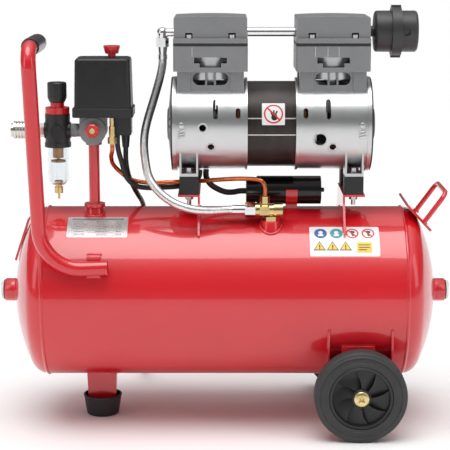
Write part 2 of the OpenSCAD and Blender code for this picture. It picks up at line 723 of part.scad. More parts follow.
module regulator_body() color(dark) difference() {
    union() {
        zcyl(17, 390, 431, regulator_x, regulator_y);
        zcyl(18, 386, 392, regulator_x, regulator_y);
        xcyl(11, regulator_x - 18, regulator_x + 18, regulator_y, air_z);
        ycyl(9, regulator_y - 20, regulator_y, regulator_x, air_z);
    }
    zcyl(5.05, 420, 440, regulator_x, regulator_y);
    xcyl(gallery_r, regulator_x - 20, regulator_x + 20, regulator_y, air_z);
    zcyl(8, 380, 400, regulator_x, regulator_y);
}

module regulator_spindle() color(red) {
    zcyl(5, 421, 432, regulator_x, regulator_y);
    zcyl(16.5, 431.3, 440, regulator_x, regulator_y);
    zcyl(9.5, 439, 446.9, regulator_x, regulator_y);
    zcyl(6, 446, 466, regulator_x, regulator_y);
}

module regulator_knob() color(dark) translate([regulator_x, regulator_y, 0]) difference() {
    rotate_extrude() polygon([[6.3, 447.3], [10.5, 447.3], [13, 453], [13, 472.5], [11.5, 474], [0, 474],
        [0, 470.5], [6.3, 470.5]]);
    for (a = [0:20:340]) rotate([0, 0, a]) translate([13.6, 0, 446]) cylinder(r = 1.2, h = 30);
}

module bowl_outline(t) {
    translate([0, 343]) square([14.5 - t, 43.5]);
    translate([0, 333 + t]) square([4.5, 20]);
    translate([4.5, 343]) circle(10 - t);
}

module filter_bowl() color("#dfe6ea", 0.45) translate([regulator_x, regulator_y, 0]) difference() {
    rotate_extrude() difference() {
        intersection() {
            bowl_outline(0);
            translate([0, 330]) square([20, 55.9]);
        }
        bowl_outline(2);
    }
    zcyl(4.6, 330, 340, 0, 0);
}

module bowl_element() color("#b98a4e") {
    zcyl(7.4, 371, 390, regulator_x, regulator_y);
    zcyl(2, 366, 372, regulator_x, regulator_y);
    zcyl(10, 365, 367.5, regulator_x, regulator_y);
}

module bowl_drain() color(brass) {
    zcyl(4.3, 325, 338, regulator_x, regulator_y);
    zcyl(6, 336, 339, regulator_x, regulator_y);
    zcyl(6, 322, 330.5, regulator_x, regulator_y);
    zcyl(1.6, 314, 323, regulator_x, regulator_y);
}

module coupler_body() color(steel) difference() {
    union() {
        xhex(17, -254, -246.1, regulator_y, air_z);
        xcyl(8, -291, -253, regulator_y, air_z);
        xcyl(9.4, -291, -288, regulator_y, air_z);
    }
    xcyl(coupler_bore_r, -292, -240, regulator_y, air_z);
}

module coupler_sleeve() color(steel) difference() {
    xcyl(12, -287.4, -260.5, regulator_y, air_z);
    xcyl(8.3, -300, -240, regulator_y, air_z);
    for (x = [-283:4:-267]) translate([x, regulator_y, air_z]) rotate([0, 90, 0]) rotate_extrude()
        translate([12.4, 0]) circle(1);
}

// ---- mains cord ----

module mains_cord() color(dark) {
    sweep(smooth(cord_route, 3), cord_r, 8);
    sweep(smooth(tail_route, 2), cord_r, 8);
}

module cord_coil() color(dark) translate([coil_x, coil_y, 0]) rotate_extrude()
    translate([coil_inner, 0]) square([coil_outer - coil_inner, coil_height]);

module mains_plug() color(dark) {
    translate([0.05, plug_y, plug_z]) rotate([0, 90, 0]) {
        cylinder(r1 = 5, r2 = 8, h = 25);
        translate([0, 0, 25]) cylinder(r1 = 11, r2 = 16, h = 26);
        translate([0, 0, 51]) cylinder(r = 19, h = 10);
        for (y = [-9.5, 9.5]) translate([0, y, 60]) cylinder(r = 2.4, h = 19);
    }
}

air_tank();
end_plugs();
saddles();
front_leg();
foot_pad();
axle_bracket();
axle_bolts();
carry_handle();
pull_handle();
handle_grip();
drain_cock();
drain_tap();
isolators();
mount_bolts();
pump_housings();
stator();
windings();
bearings();
motor_rotor();
eccentrics();
cooling_fans();
piston_left();
piston_right();
cylinder_sleeves();
cylinder_blocks();
valve_plates();
cylinder_heads();
head_bolts();
end_covers();
transfer_pipe();
air_filter();
hose_fittings();
braided_hose();
check_valve();
unloader_tube();
brass_fittings();
capacitor();
motor_cable();
riser_pipe();
manifold();
switch_base();
switch_cover();
switch_button();
cable_glands();
safety_knob();
regulator_body();
regulator_spindle();
regulator_knob();
filter_bowl();
bowl_element();
bowl_drain();
coupler_body();
coupler_sleeve();
tyre(-1);  // front_tyre
hub(-1);  // front_hub
tyre(1);  // rear_tyre
hub(1);  // rear_hub
mains_cord();
cord_coil();
mains_plug();
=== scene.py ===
"""Looks of a portable air compressor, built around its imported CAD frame.

Sizes are in millimetres until MM scales them.
"""

import json
import math

import bmesh
import bpy
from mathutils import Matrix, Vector


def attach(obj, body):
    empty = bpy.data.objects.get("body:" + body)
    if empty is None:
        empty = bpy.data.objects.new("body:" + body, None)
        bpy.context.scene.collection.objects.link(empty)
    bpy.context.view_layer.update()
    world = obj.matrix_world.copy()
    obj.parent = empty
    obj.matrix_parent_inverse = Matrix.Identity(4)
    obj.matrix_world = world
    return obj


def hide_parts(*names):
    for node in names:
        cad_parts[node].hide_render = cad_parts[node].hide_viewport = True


MM = 0.001
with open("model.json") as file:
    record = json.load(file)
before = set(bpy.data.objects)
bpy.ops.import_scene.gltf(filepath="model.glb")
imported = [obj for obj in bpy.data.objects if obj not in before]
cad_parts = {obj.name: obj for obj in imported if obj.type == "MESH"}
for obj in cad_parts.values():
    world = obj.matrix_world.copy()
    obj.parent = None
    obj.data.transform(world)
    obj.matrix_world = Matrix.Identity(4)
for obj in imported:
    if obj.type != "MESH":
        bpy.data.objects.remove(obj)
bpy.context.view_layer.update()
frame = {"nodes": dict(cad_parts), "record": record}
nodes = frame["nodes"]


# ---------------------------------------------------------------- camera

CAMERA_AT = (0.0, -2.1323, 0.675)
LOOKS_DOWN = 10.7
LENS_MM = 124.4

camera = bpy.data.objects.new("camera", bpy.data.cameras.new("camera"))
bpy.context.scene.collection.objects.link(camera)
camera.location = CAMERA_AT
camera.rotation_euler = (math.radians(90 - LOOKS_DOWN), 0, 0)
camera.data.lens = LENS_MM
camera.data.sensor_width = 36
camera.data.clip_start = 0.05
camera.data.clip_end = 200
bpy.context.scene.camera = camera


# ---------------------------------------------------------------- materials

def node_kit(name):
    """A new material with its tree, its shader, and the Object output of a texture coordinate node."""
    made = bpy.data.materials.new(name)
    made.use_nodes = True
    tree = made.node_tree
    shader = tree.nodes["Principled BSDF"]
    place = tree.nodes.new("ShaderNodeTexCoord").outputs["Object"]
    return made, tree, shader, place


def noise(tree, vector, scale, detail=3.0, rough=0.55):
    n = tree.nodes.new("ShaderNodeTexNoise")
    n.inputs["Scale"].default_value = scale
    n.inputs["Detail"].default_value = detail
    n.inputs["Roughness"].default_value = rough
    tree.links.new(vector, n.inputs["Vector"])
    return n.outputs["Fac"]


def stretched(tree, vector, stretch):
    m = tree.nodes.new("ShaderNodeMapping")
    m.inputs["Scale"].default_value = stretch
    tree.links.new(vector, m.inputs["Vector"])
    return m.outputs["Vector"]


def ranged(tree, value, a, b, c, d):
    m = tree.nodes.new("ShaderNodeMapRange")
    for key, x in zip(("From Min", "From Max", "To Min", "To Max"), (a, b, c, d)):
        m.inputs[key].default_value = x
    tree.links.new(value, m.inputs["Value"])
    return m.outputs["Result"]


def mixed(tree, factor, a, b):
    """Colour a where factor is 0 and b where it is 1; each is a colour or a socket."""
    m = tree.nodes.new("ShaderNodeMix")
    m.data_type = "RGBA"
    tree.links.new(factor, m.inputs["Factor"])
    for key, x in ((6, a), (7, b)):
        if isinstance(x, (tuple, list)):
            m.inputs[key].default_value = (*x[:3], 1)
        else:
            tree.links.new(x, m.inputs[key])
    return m.outputs[2]


def tone(colour, k):
    return tuple(min(1.0, c * k) for c in colour)


def bumped(tree, shader, height, strength, distance):
    b = tree.nodes.new("ShaderNodeBump")
    b.inputs["Strength"].default_value = strength
    b.inputs["Distance"].default_value = distance
    tree.links.new(height, b.inputs["Height"])
    tree.links.new(b.outputs["Normal"], shader.inputs["Normal"])


def edges(tree, radius):
    """1 along an edge, 0 on the flats: how far a normal rounded over radius leans from the true one."""
    bevel = tree.nodes.new("ShaderNodeBevel")
    bevel.samples = 4
    bevel.inputs["Radius"].default_value = radius
    lean = tree.nodes.new("ShaderNodeVectorMath")
    lean.operation = "DOT_PRODUCT"
    tree.links.new(bevel.outputs["Normal"], lean.inputs[0])
    tree.links.new(tree.nodes.new("ShaderNodeNewGeometry").outputs["Normal"], lean.inputs[1])
    return ranged(tree, lean.outputs["Value"], 0.99, 0.90, 0, 1)


def surface(name, colour, rough, metal=0.0, vary=0.08, patch=35, rough_vary=0.06, grain=1200,
            bump=0.12, depth=0.00008, stretch=None, wear=None, wear_over=0.0007, coat=0.0,
            coat_rough=0.05, dust=0.0, sheen=0.0):
    """A finish with uneven colour and gloss and a grain, edges worn to the colour wear, and dust."""
    made, tree, shader, place = node_kit(name)
    big = noise(tree, place, patch, 5)
    small = noise(tree, place, patch * 9, 3)
    spread = mixed(tree, ranged(tree, big, 0.3, 0.7, 0, 1), tone(colour, 1 - vary), tone(colour, 1 + vary))
    if wear is not None:
        rubbed = tree.nodes.new("ShaderNodeMath")
        rubbed.operation = "MULTIPLY"
        tree.links.new(edges(tree, wear_over), rubbed.inputs[0])
        tree.links.new(ranged(tree, small, 0.40, 0.62, 0.15, 0.8), rubbed.inputs[1])
        spread = mixed(tree, rubbed.outputs[0], spread, wear)
    if dust:
        spread = mixed(tree, ranged(tree, small, 0.55, 0.8, 0, dust), spread, (0.55, 0.53, 0.5))
    tree.links.new(spread, shader.inputs["Base Color"])
    tree.links.new(ranged(tree, small, 0.3, 0.7, max(0.02, rough - rough_vary), rough + rough_vary),
                   shader.inputs["Roughness"])
    shader.inputs["Metallic"].default_value = metal
    shader.inputs["IOR"].default_value = 1.5
    shader.inputs["Coat Weight"].default_value = coat
    shader.inputs["Coat Roughness"].default_value = coat_rough
    if sheen:
        shader.inputs["Sheen Weight"].default_value = sheen
    lined = place if stretch is None else stretched(tree, place, stretch)
    bumped(tree, shader, noise(tree, lined, grain, 3), bump, depth)
    return made


RED = (0.66, 0.007, 0.016)
M = {
    "red_paint": surface("red_paint", RED, 0.32, vary=0.04, patch=9, rough_vary=0.03, grain=300, bump=0.05,
                         depth=0.0002, coat=1.0, coat_rough=0.045, wear=(0.80, 0.05, 0.05), wear_over=0.0005),
    "black_rubber": surface("black_rubber", (0.017, 0.017, 0.018), 0.55, vary=0.2, grain=1800,
                            bump=0.25, dust=0.04),
    "tyre_rubber": surface("tyre_rubber", (0.034, 0.034, 0.035), 0.60, vary=0.16, grain=1500,
                           bump=0.35, dust=0.05, sheen=0.05),
    "black_plastic": surface("black_plastic", (0.013, 0.013, 0.014), 0.40, vary=0.14, grain=2600, bump=0.22,
                             wear=(0.05, 0.05, 0.05), dust=0.02),
    "filter_plastic": surface("filter_plastic", (0.034, 0.034, 0.036), 0.42, vary=0.12, grain=2200, bump=0.25,
                              wear=(0.09, 0.09, 0.09), dust=0.03),
    "gloss_black": surface("gloss_black", (0.004, 0.004, 0.0045), 0.22, vary=0.15, grain=900, bump=0.05),
    "vinyl_grip": surface("vinyl_grip", (0.010, 0.010, 0.011), 0.20, vary=0.2, grain=700, bump=0.12,
                          coat=0.5, coat_rough=0.12),
    "nickel": surface("nickel", (0.66, 0.64, 0.60), 0.17, 1.0, vary=0.06, grain=1500, bump=0.06,
                      stretch=(0.1, 1, 1)),
    "zinc_steel": surface("zinc_steel", (0.60, 0.60, 0.60), 0.30, 1.0, vary=0.1, grain=1400, bump=0.1),
    "yellow_zinc": surface("yellow_zinc", (0.78, 0.62, 0.30), 0.30, 1.0, vary=0.12, patch=160, grain=1600,
                           bump=0.1),
    "alloy": surface("alloy", (0.60, 0.605, 0.61), 0.30, 0.95, vary=0.03, patch=22, rough_vary=0.02,
                     grain=1500, bump=0.02, depth=0.00002, stretch=(0.25, 1, 1)),
    "dark_casting": surface("dark_casting", (0.25, 0.253, 0.26), 0.46, 0.35, vary=0.04, patch=30, grain=2400,
                            bump=0.3, depth=0.00008, wear=(0.62, 0.62, 0.62), wear_over=0.0009),
    "copper_wire": surface("copper_wire", (0.20, 0.07, 0.025), 0.35, 0.8, vary=0.12, grain=900, bump=0.5,
                           stretch=(1, 0.08, 0.08), coat=0.4),
    "copper_pipe": surface("copper_pipe", (0.62, 0.17, 0.06), 0.26, 1.0, vary=0.22, patch=60, grain=900,
                           bump=0.06),
    "brass": surface("brass", (0.62, 0.47, 0.22), 0.24, 1.0, vary=0.14, patch=120, grain=1500, bump=0.08),
    "chrome": surface("chrome", (0.76, 0.76, 0.77), 0.12, 1.0, vary=0.05, grain=1000, bump=0.03,
                      rough_vary=0.03),
    "steel_braid": surface("steel_braid", (0.80, 0.80, 0.79), 0.34, 1.0, vary=0.14, patch=300, grain=4000,
                           bump=0.15),
    "red_plastic": surface("red_plastic", (0.62, 0.012, 0.02), 0.25, vary=0.08, grain=1400, bump=0.06,
                           coat=0.3),
    "bronze": surface("bronze", (0.50, 0.27, 0.10), 0.45, 0.8, vary=0.25, patch=700, grain=3000, bump=0.8),
    "cable_jacket": surface("cable_jacket", (0.009, 0.009, 0.010), 0.42, vary=0.2, grain=1300, bump=0.15),
    "bright_line": surface("bright_line", (0.62, 0.61, 0.59), 0.4, 0.3, vary=0.15, patch=300, grain=2000,
                           bump=0.3),
    "label_white": surface("label_white", (0.80, 0.80, 0.79), 0.32, vary=0.03, grain=900, bump=0.04, coat=0.4),
    "label_silver": surface("label_silver", (0.56, 0.54, 0.53), 0.30, 0.5, vary=0.07, patch=60, grain=1800,
                            bump=0.05, stretch=(1, 0.1, 0.1)),
    "ink_black": surface("ink_black", (0.02, 0.02, 0.02), 0.4, vary=0.2, patch=200, bump=0.03),
    "ink_grey": surface("ink_grey", (0.20, 0.18, 0.18), 0.4, vary=0.2, patch=300, bump=0.03),
    "ink_red": surface("ink_red", (0.62, 0.02, 0.03), 0.35, vary=0.1, patch=200, bump=0.03),
    "ink_blue": surface("ink_blue", (0.01, 0.10, 0.36), 0.35, vary=0.1, patch=200, bump=0.03),
    "ink_teal": surface("ink_teal", (0.02, 0.30, 0.34), 0.35, vary=0.1, patch=200, bump=0.03),
    "ink_yellow": surface("ink_yellow", (0.82, 0.55, 0.02), 0.35, vary=0.08, patch=200, bump=0.03),
}


def laminations():
    """Varnished electrical steel sheets on edge: fine lines across the shaft, brown varnish that runs."""
    made, tree, shader, place = node_kit("laminations")
    wave = tree.nodes.new("ShaderNodeTexWave")
    wave.inputs["Scale"].default_value = 480
    wave.inputs["Distortion"].default_value = 0.4
    wave.inputs["Detail"].default_value = 1.0
    tree.links.new(place, wave.inputs["Vector"])
    runs = noise(tree, stretched(tree, place, (1, 0.3, 0.3)), 60, 5)
    base = mixed(tree, ranged(tree, runs, 0.35, 0.65, 0, 1), (0.020, 0.013, 0.011), (0.042, 0.032, 0.027))
    base = mixed(tree, ranged(tree, wave.outputs["Fac"], 0, 1, 0, 0.35), base, (0.012, 0.010, 0.009))
    tree.links.new(base, shader.inputs["Base Color"])
    tree.links.new(ranged(tree, runs, 0.3, 0.7, 0.28, 0.42), shader.inputs["Roughness"])
    shader.inputs["Metallic"].default_value = 0.35
    bumped(tree, shader, wave.outputs["Fac"], 0.35, 0.00012)
    return made


def clear_plastic():
    """Moulded polycarbonate, faintly smoky, with flow marks."""
    made, tree, shader, place = node_kit("clear_plastic")
    flow = noise(tree, stretched(tree, place, (1, 1, 0.3)), 90, 3)
    tree.links.new(mixed(tree, flow, (0.84, 0.87, 0.89), (0.93, 0.95, 0.96)), shader.inputs["Base Color"])
    tree.links.new(ranged(tree, flow, 0.3, 0.7, 0.02, 0.07), shader.inputs["Roughness"])
    shader.inputs["Transmission Weight"].default_value = 1.0
    shader.inputs["IOR"].default_value = 1.42
    bumped(tree, shader, flow, 0.05, 0.0003)
    return made


M["laminations"] = laminations()
M["clear_plastic"] = clear_plastic()


# ---------------------------------------------------------------- mesh tools

def make(name, verts, faces, finish, body="root", slot=None, replaces=(), sharp=38, bevel=0.0):
    """A piece from its points and faces: welded, outward, smooth but for edges sharper than sharp degrees."""
    mesh = bpy.data.meshes.new(name)
    mesh.from_pydata([tuple(c * MM for c in v) for v in verts], [], faces)
    return finished(name, mesh, finish, body, slot, replaces, sharp, bevel)


def finished(name, mesh, finish, body, slot, replaces, sharp, bevel, dissolve=False):
    work = bmesh.new()
    work.from_mesh(mesh)
    bmesh.ops.remove_doubles(work, verts=work.verts, dist=2e-6)
    if dissolve:
        bmesh.ops.dissolve_limit(work, angle_limit=math.radians(0.4), verts=work.verts, edges=work.edges)
    bmesh.ops.recalc_face_normals(work, faces=work.faces)
    for f in work.faces:
        f.smooth = True
    limit = math.radians(sharp)
    for e in work.edges:
        e.smooth = len(e.link_faces) == 2 and e.calc_face_angle(0) < limit
    work.to_mesh(mesh)
    work.free()
    piece = bpy.data.objects.new(name, mesh)
    bpy.context.scene.collection.objects.link(piece)
    mesh.materials.clear()
    mesh.materials.append(M[finish])
    if bevel:
        edge = piece.modifiers.new("edges", "BEVEL")
        edge.width = bevel * MM
        edge.segments = 2
        edge.limit_method = "ANGLE"
        edge.angle_limit = limit
        edge.use_clamp_overlap = True
        edge.harden_normals = True
    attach(piece, body)
    if slot or finish in SLOTS:
        slot or finish
    if replaces:
        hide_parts(*replaces)
    return piece


SLOTS = {m["slot"] for m in frame["record"]["materials"]}
BODY_OF = {n: b for b, names in frame["record"]["behaviour"]["bodies"].items() for n in names}


def refine(node, finish=None, bevel=0.4, sharp=30):
    """The CAD node's own shape with its flat faces whole and its edges rounded; it stands for the node."""
    slot = slot_of(node)
    return finished(node + "_form", nodes[node].data.copy(), finish or slot, BODY_OF[node], slot, [node],
                    sharp, bevel, dissolve=True)


def slot_of(node):
    return next(p["material_slot"] for p in frame["record"]["subparts"] if p["node"] == node)


def lathe(profile, axis="z", centre=(0, 0, 0), seg=96, wobble=None):
    """A closed profile of (radius, height) turned about an axis. Radius 0 closes on the axis."""
    verts, faces, rows = [], [], []
    for r, h in profile:
        if r < 1e-6:
            rows.append([len(verts)])
            verts.append((0.0, 0.0, h))
        else:
            rows.append(list(range(len(verts), len(verts) + seg)))
            for k in range(seg):
                a = 2 * math.pi * k / seg
                q = r + (wobble(a, r, h) if wobble else 0)
                verts.append((q * math.cos(a), q * math.sin(a), h))
    pairs = list(zip(rows, rows[1:]))
    if profile[0][0] > 1e-6 or profile[-1][0] > 1e-6:
        pairs.append((rows[-1], rows[0]))
    for a, b in pairs:
        for k in range(seg):
            j = (k + 1) % seg
            if len(a) == 1 and len(b) == 1:
                continue
            if len(a) == 1:
                faces.append((a[0], b[j], b[k]))
            elif len(b) == 1:
                faces.append((a[k], a[j], b[0]))
            else:
                faces.append((a[k], a[j], b[j], b[k]))
    return turned(verts, axis, centre), faces


def turned(verts, axis, centre):
    """Points made about the z axis, set about another axis at centre."""
    cx, cy, cz = centre
    if axis == "x":
        return [(cx + z, cy + x, cz + y) for x, y, z in verts]
    if axis == "-y":
        return [(cx + x, cy - z, cz + y) for x, y, z in verts]
    if axis == "y":
        return [(cx - x, cy + z, cz + y) for x, y, z in verts]
    return [(cx + x, cy + y, cz + z) for x, y, z in verts]


def joined(*parts):
    """Several (verts, faces) as one."""
    verts, faces = [], []
    for v, f in parts:
        n = len(verts)
        verts += list(v)
        faces += [tuple(i + n for i in face) for face in f]
    return verts, faces


def curve_at(a, b, c, d, t):
    return tuple(0.5 * (2 * b[i] + (c[i] - a[i]) * t + (2 * a[i] - 5 * b[i] + 4 * c[i] - d[i]) * t * t
                        + (3 * b[i] - a[i] - 3 * c[i] + d[i]) * t ** 3) for i in range(3))


def smooth(p, n):
    last = len(p) - 1
    return [curve_at(p[max(i - 1, 0)], p[i], p[i + 1], p[min(i + 2, last)], k / n)
            for i in range(last) for k in range(n)] + [tuple(p[-1])]


def tube(path, radius, sides=16, closed=False, shape=None, caps=True):
    """Points and faces of a round tube along path. shape(i, angle) adds to the radius."""
    pts = [Vector(p) for p in path]
    n = len(pts)
    verts, faces, side = [], [], None
    for i, p in enumerate(pts):
        if closed:
            t = (pts[(i + 1) % n] - pts[i - 1]).normalized()
        else:
            t = (pts[min(i + 1, n - 1)] - pts[max(i - 1, 0)]).normalized()
        if side is None:
            side = Vector((1, 0, 0)) if abs(t.x) < 0.9 else Vector((0, 1, 0))
        side = (side - t * side.dot(t)).normalized()
        other = t.cross(side)
        r = radius(i) if callable(radius) else radius
        for k in range(sides):
            a = 2 * math.pi * k / sides
            q = r + (shape(i, a) if shape else 0)
            verts.append(tuple(p + side * (q * math.cos(a)) + other * (q * math.sin(a))))
    for i in range(n if closed else n - 1):
        j = (i + 1) % n
        for k in range(sides):
            m = (k + 1) % sides
            faces.append((i * sides + k, i * sides + m, j * sides + m, j * sides + k))
    if caps and not closed:
        faces.append(tuple(range(sides))[::-1])
        faces.append(tuple((n - 1) * sides + k for k in range(sides)))
    return verts, faces


def resample(path, step):
    """The path with a point about every step along it."""
    pts = [Vector(p) for p in path]
    out, left = [pts[0].copy()], step
    for a, b in zip(pts, pts[1:]):
        d = (b - a).length
        if d < 1e-9:
            continue
        while left <= d:
            out.append(a.lerp(b, left / d))
            left += step
        left -= d
    if (out[-1] - pts[-1]).length > step * 0.3:
        out.append(pts[-1].copy())
    else:
        out[-1] = pts[-1].copy()
    return [tuple(p) for p in out]


def rounded(w, h, r, n=6):
    """The outline of a rectangle w by h, centred, with round corners."""
    out = []
    for cx, cy, a0 in ((1, 1, 0), (-1, 1, 90), (-1, -1, 180), (1, -1, 270)):
        for k in range(n + 1):
            a = math.radians(a0 + 90 * k / n)
            out.append((cx * (w / 2 - r) + r * math.cos(a), cy * (h / 2 - r) + r * math.sin(a)))
    return out


def loft(rings, caps=True):
    """Points and faces between rings of points, each with the same number."""
    n = len(rings[0])
    verts = [p for ring in rings for p in ring]
    faces = [(i * n + k, i * n + (k + 1) % n, (i + 1) * n + (k + 1) % n, (i + 1) * n + k)
             for i in range(len(rings) - 1) for k in range(n)]
    if caps:
        faces.append(tuple(range(n))[::-1])
        faces.append(tuple((len(rings) - 1) * n + k for k in range(n)))
    return verts, faces


def hexagon(flats, low, high, axis="z", centre=(0, 0, 0), chamfer=0.8):
    """A hexagon nut or head with its corners turned off at both ends."""
    rings = []
    for h, cut in ((low, 1), (low + chamfer * 0.6, 0), (high - chamfer * 0.6, 0), (high, 1)):
        ring = []
        for k in range(48):
            a = 2 * math.pi * k / 48
            b = (a + math.pi / 6) % (math.pi / 3) - math.pi / 6
            q = flats / 2 / math.cos(b)
            if cut:
                q = min(q, flats / 2 * 0.97)
            ring.append((q * math.cos(a), q * math.sin(a), h))
        rings.append(ring)
    verts, faces = loft(rings)
    return turned(verts, axis, centre), faces


def arc(cx, cy, r, a0, a1, n):
    """Points of an arc in the plane, by angles in degrees."""
    return [(cx + r * math.cos(math.radians(a0 + (a1 - a0) * k / n)),
             cy + r * math.sin(math.radians(a0 + (a1 - a0) * k / n))) for k in range(n + 1)]


# ---------------------------------------------------------------- mains cord

CORD_D = 7.0
CORD_ROUTE = [(-136, -18, 384), (-136, -17, 365), (-133.5, -8.5, 345), (-128, 5, 327), (-122, 23, 311),
              (-118, 46, 298), (-116, 71, 281), (-115, 95, 259), (-114, 112, 230), (-114, 123, 195),
              (-114, 129, 160), (-115, 137, 120), (-117, 150, 80), (-120, 170, 45), (-124, 192, 19),
              (-127, 212, 6), (-129, 230, 3.5), (-130, 243, 3.5), (-130, 255, 3.5)]
TAIL_ROUTE = [(-84.5, 297, 9.6), (-70, 297, 9.8), (-55, 294, 11.5), (-40, 288, 15), (-25, 280, 18.5),
              (-12, 276, 19.2), (0, 275, 19.2)]
COIL_X, COIL_Y = -84.5, 255.0
COIL_STEPS = 72
COIL_TURNS = 4.25


def eased(x):
    x = min(1.0, max(0.0, x))
    return x * x * (3 - 2 * x)


def coil_path():
    """Three turns on the floor, each inside the last, then outwards on top of them, clockwise from -X."""
    turn, top = [], []
    for i in range(int(COIL_STEPS * COIL_TURNS) + 1):
        whole, part = divmod(i / COIL_STEPS, 1)
        cross = eased((part - 0.72) / 0.28)
        if whole < 2:
            r = 45.5 - 7 * whole - 7 * cross
        elif whole < 3:
            r = 31.5
        elif whole < 4:
            r = 31.5 + 3.5 * eased(part / 0.16) + 7 * cross
        else:
            r = 42.0
        turn.append(r)
        z = CORD_D / 2
        for back in range(i - COIL_STEPS, -1, -COIL_STEPS):
            d = abs(turn[back] - r)
            if d < CORD_D + 0.1:
                z = max(z, top[back] + math.sqrt((CORD_D + 0.1) ** 2 - d * d))
        top.append(z)
    soft = [sum(top[max(0, i - 2):i + 3]) / len(top[max(0, i - 2):i + 3]) for i in range(len(top))]
    soft[0] = top[0]
    soft[-1] = TAIL_ROUTE[0][2]
    out = []
    for i, (r, z) in enumerate(zip(turn, soft)):
        a = math.pi - 2 * math.pi * i / COIL_STEPS
        out.append((COIL_X + r * math.cos(a), COIL_Y + r * math.sin(a), z))
    return out


cord_path = resample(smooth(CORD_ROUTE, 6)[:-1] + coil_path() + smooth(TAIL_ROUTE, 4)[1:], 3.0)
verts, faces = tube(cord_path, CORD_D / 2, 14)
cord = make("mains_lead", verts, faces, "cable_jacket", replaces=["mains_cord", "cord_coil"])

plug_y, plug_z = 275.0, 19.2
profile = [(0, 0.1), (4.2, 0.1), (5.2, 1)]
for k in range(7):
    profile += [(5.0 + 0.35 * k + d, 2.2 + 3.1 * k + h)
                for d, h in ((0.0, 0), (0.0, 1.4), (0.9, 1.8), (0.9, 2.8))]
profile += [(8.0, 24.5), (10.6, 26), (11.6, 28), (16.0, 49.5), (18.4, 51.5), (19.0, 53), (19.0, 60),
            (18.2, 61), (0, 61)]
shell = lathe(profile, "x", (0, plug_y, plug_z), 48)
ribs = []
for k in range(-4, 5):
    for s in (-1, 1):
        y, z = plug_y + k * 2.4, plug_z + s * 14.6
        ribs.append(loft([[(30, y - 0.7, h), (48, y - 0.7, h), (48, y + 0.7, h), (30, y + 0.7, h)]
                          for h in (z - s * 2.5, z + s * 1.2)]))
plug = make("plug_body", *joined(shell, *ribs), "black_plastic", slot="black_plastic", replaces=["mains_plug"],
            sharp=32)
pin = [(0, 60), (2.4, 60), (2.4, 76.5), (1.9, 78.4), (0.9, 79), (0, 79)]
pins = [lathe(pin, "x", (0, plug_y + s * 9.5, plug_z), 24) for s in (-1, 1)]
plug_pins = make("plug_pins", *joined(*pins), "nickel")
[[c * MM for c in p] for p in cord_path]


# ---------------------------------------------------------------- receiver

TANK_R, TANK_Z, TANK_HALF = 117.5, 180.0, 245.0
KNUCKLE_R = 25.0
KNUCKLE_C = TANK_R - KNUCKLE_R
HEAD_DEPTH = 47.0
CROWN_R = (KNUCKLE_C ** 2 + HEAD_DEPTH ** 2 - KNUCKLE_R ** 2) / (2 * (HEAD_DEPTH - KNUCKLE_R))
CROWN_C = TANK_HALF + HEAD_DEPTH - CROWN_R
TANK_END = TANK_HALF + HEAD_DEPTH
BOSS_END = TANK_END + 16
JOIN = math.degrees(math.atan2(KNUCKLE_C, TANK_HALF - CROWN_C))


def tank_profile():
    """(radius, x) from the plug hole of one end to the middle, then its mirror."""
    half = [(0, BOSS_END - 9), (9, BOSS_END - 9), (9, BOSS_END - 0.7), (9.7, BOSS_END), (15, BOSS_END),
            (16, BOSS_END - 1), (16, TANK_END + 2.6)]
    half += [(16 + 2.6 * (1 - math.cos(math.radians(a))), TANK_END + 2.3 - 2.6 * math.sin(math.radians(a)))
             for a in (25, 50, 70)]
    start = math.degrees(math.asin(20.0 / CROWN_R))
    half += [(y, x) for x, y in arc(CROWN_C, 0, CROWN_R, start, JOIN, 22)]
    half += [(y, x) for x, y in arc(TANK_HALF, KNUCKLE_C, KNUCKLE_R, JOIN, 84, 14)[1:]]
    half += [(TANK_R - 0.1 + 1.5 * math.cos(math.radians(a)), TANK_HALF + 2.1 * math.sin(math.radians(a)))
             for a in range(75, -90, -15)]
    half += [(TANK_R, x) for x in (240, 180, 120, 60)]
    return half + [(TANK_R, 0)] + [(r, -x) for r, x in reversed(half)]


def bead_wave(a, r, h):
    """Ripples of the two weld beads."""
    d = abs(abs(h) - TANK_HALF)
    if r > TANK_R - 0.5 and d < 2.3:
        return (0.16 * math.sin(110 * a) + 0.1 * math.sin(23 * a + h)) * (1 - d / 2.3)
    return 0.0


tank = lathe(tank_profile(), "x", (0, 0, TANK_Z), 220, bead_wave)


def tank_top(y):
    return TANK_Z + math.sqrt(TANK_R ** 2 - y * y)


def bung(x, y, r, end, hole=6.0, up=1):
    """A threaded socket that stands on the tank."""
    low = tank_top(y) - 14 if up > 0 else TANK_Z - TANK_R + 6
    floor_at = end - up * 8
    prof = [(0, floor_at), (hole, floor_at), (hole, end), (r - 0.9, end), (r, end - up * 0.9), (r, low),
            (0, low)]
    return lathe(prof if up > 0 else prof[::-1], "z", (x, y, 0), 64)


def weld(path, radius=1.7, closed=False, step=1.1):
    """A painted weld bead with its ripples."""
    p = resample([*path, path[0]] if closed else path, step)
    if closed:
        p = p[:-1]
    return tube(p, lambda i: radius * (1 + 0.13 * math.sin(i * 1.9) + 0.08 * math.sin(i * 0.37)), 10, closed)


def on_tank(x, y, lift=0.0):
    return (x, y * (1 + lift / TANK_R), TANK_Z + math.sqrt(TANK_R ** 2 - y * y) * (1 + lift / TANK_R))


def ring_on_tank(x, y, r):
    return [on_tank(x + r * math.cos(a), y + r * math.sin(a))
            for a in (2 * math.pi * k / 60 for k in range(60))]


def tank_bottom(y):
    return TANK_Z - math.sqrt(TANK_R ** 2 - y ** 2)


def tank_front(z):
    """The y of the receiver's front side at height z."""
    return -math.sqrt(TANK_R ** 2 - (z - TANK_Z) ** 2)


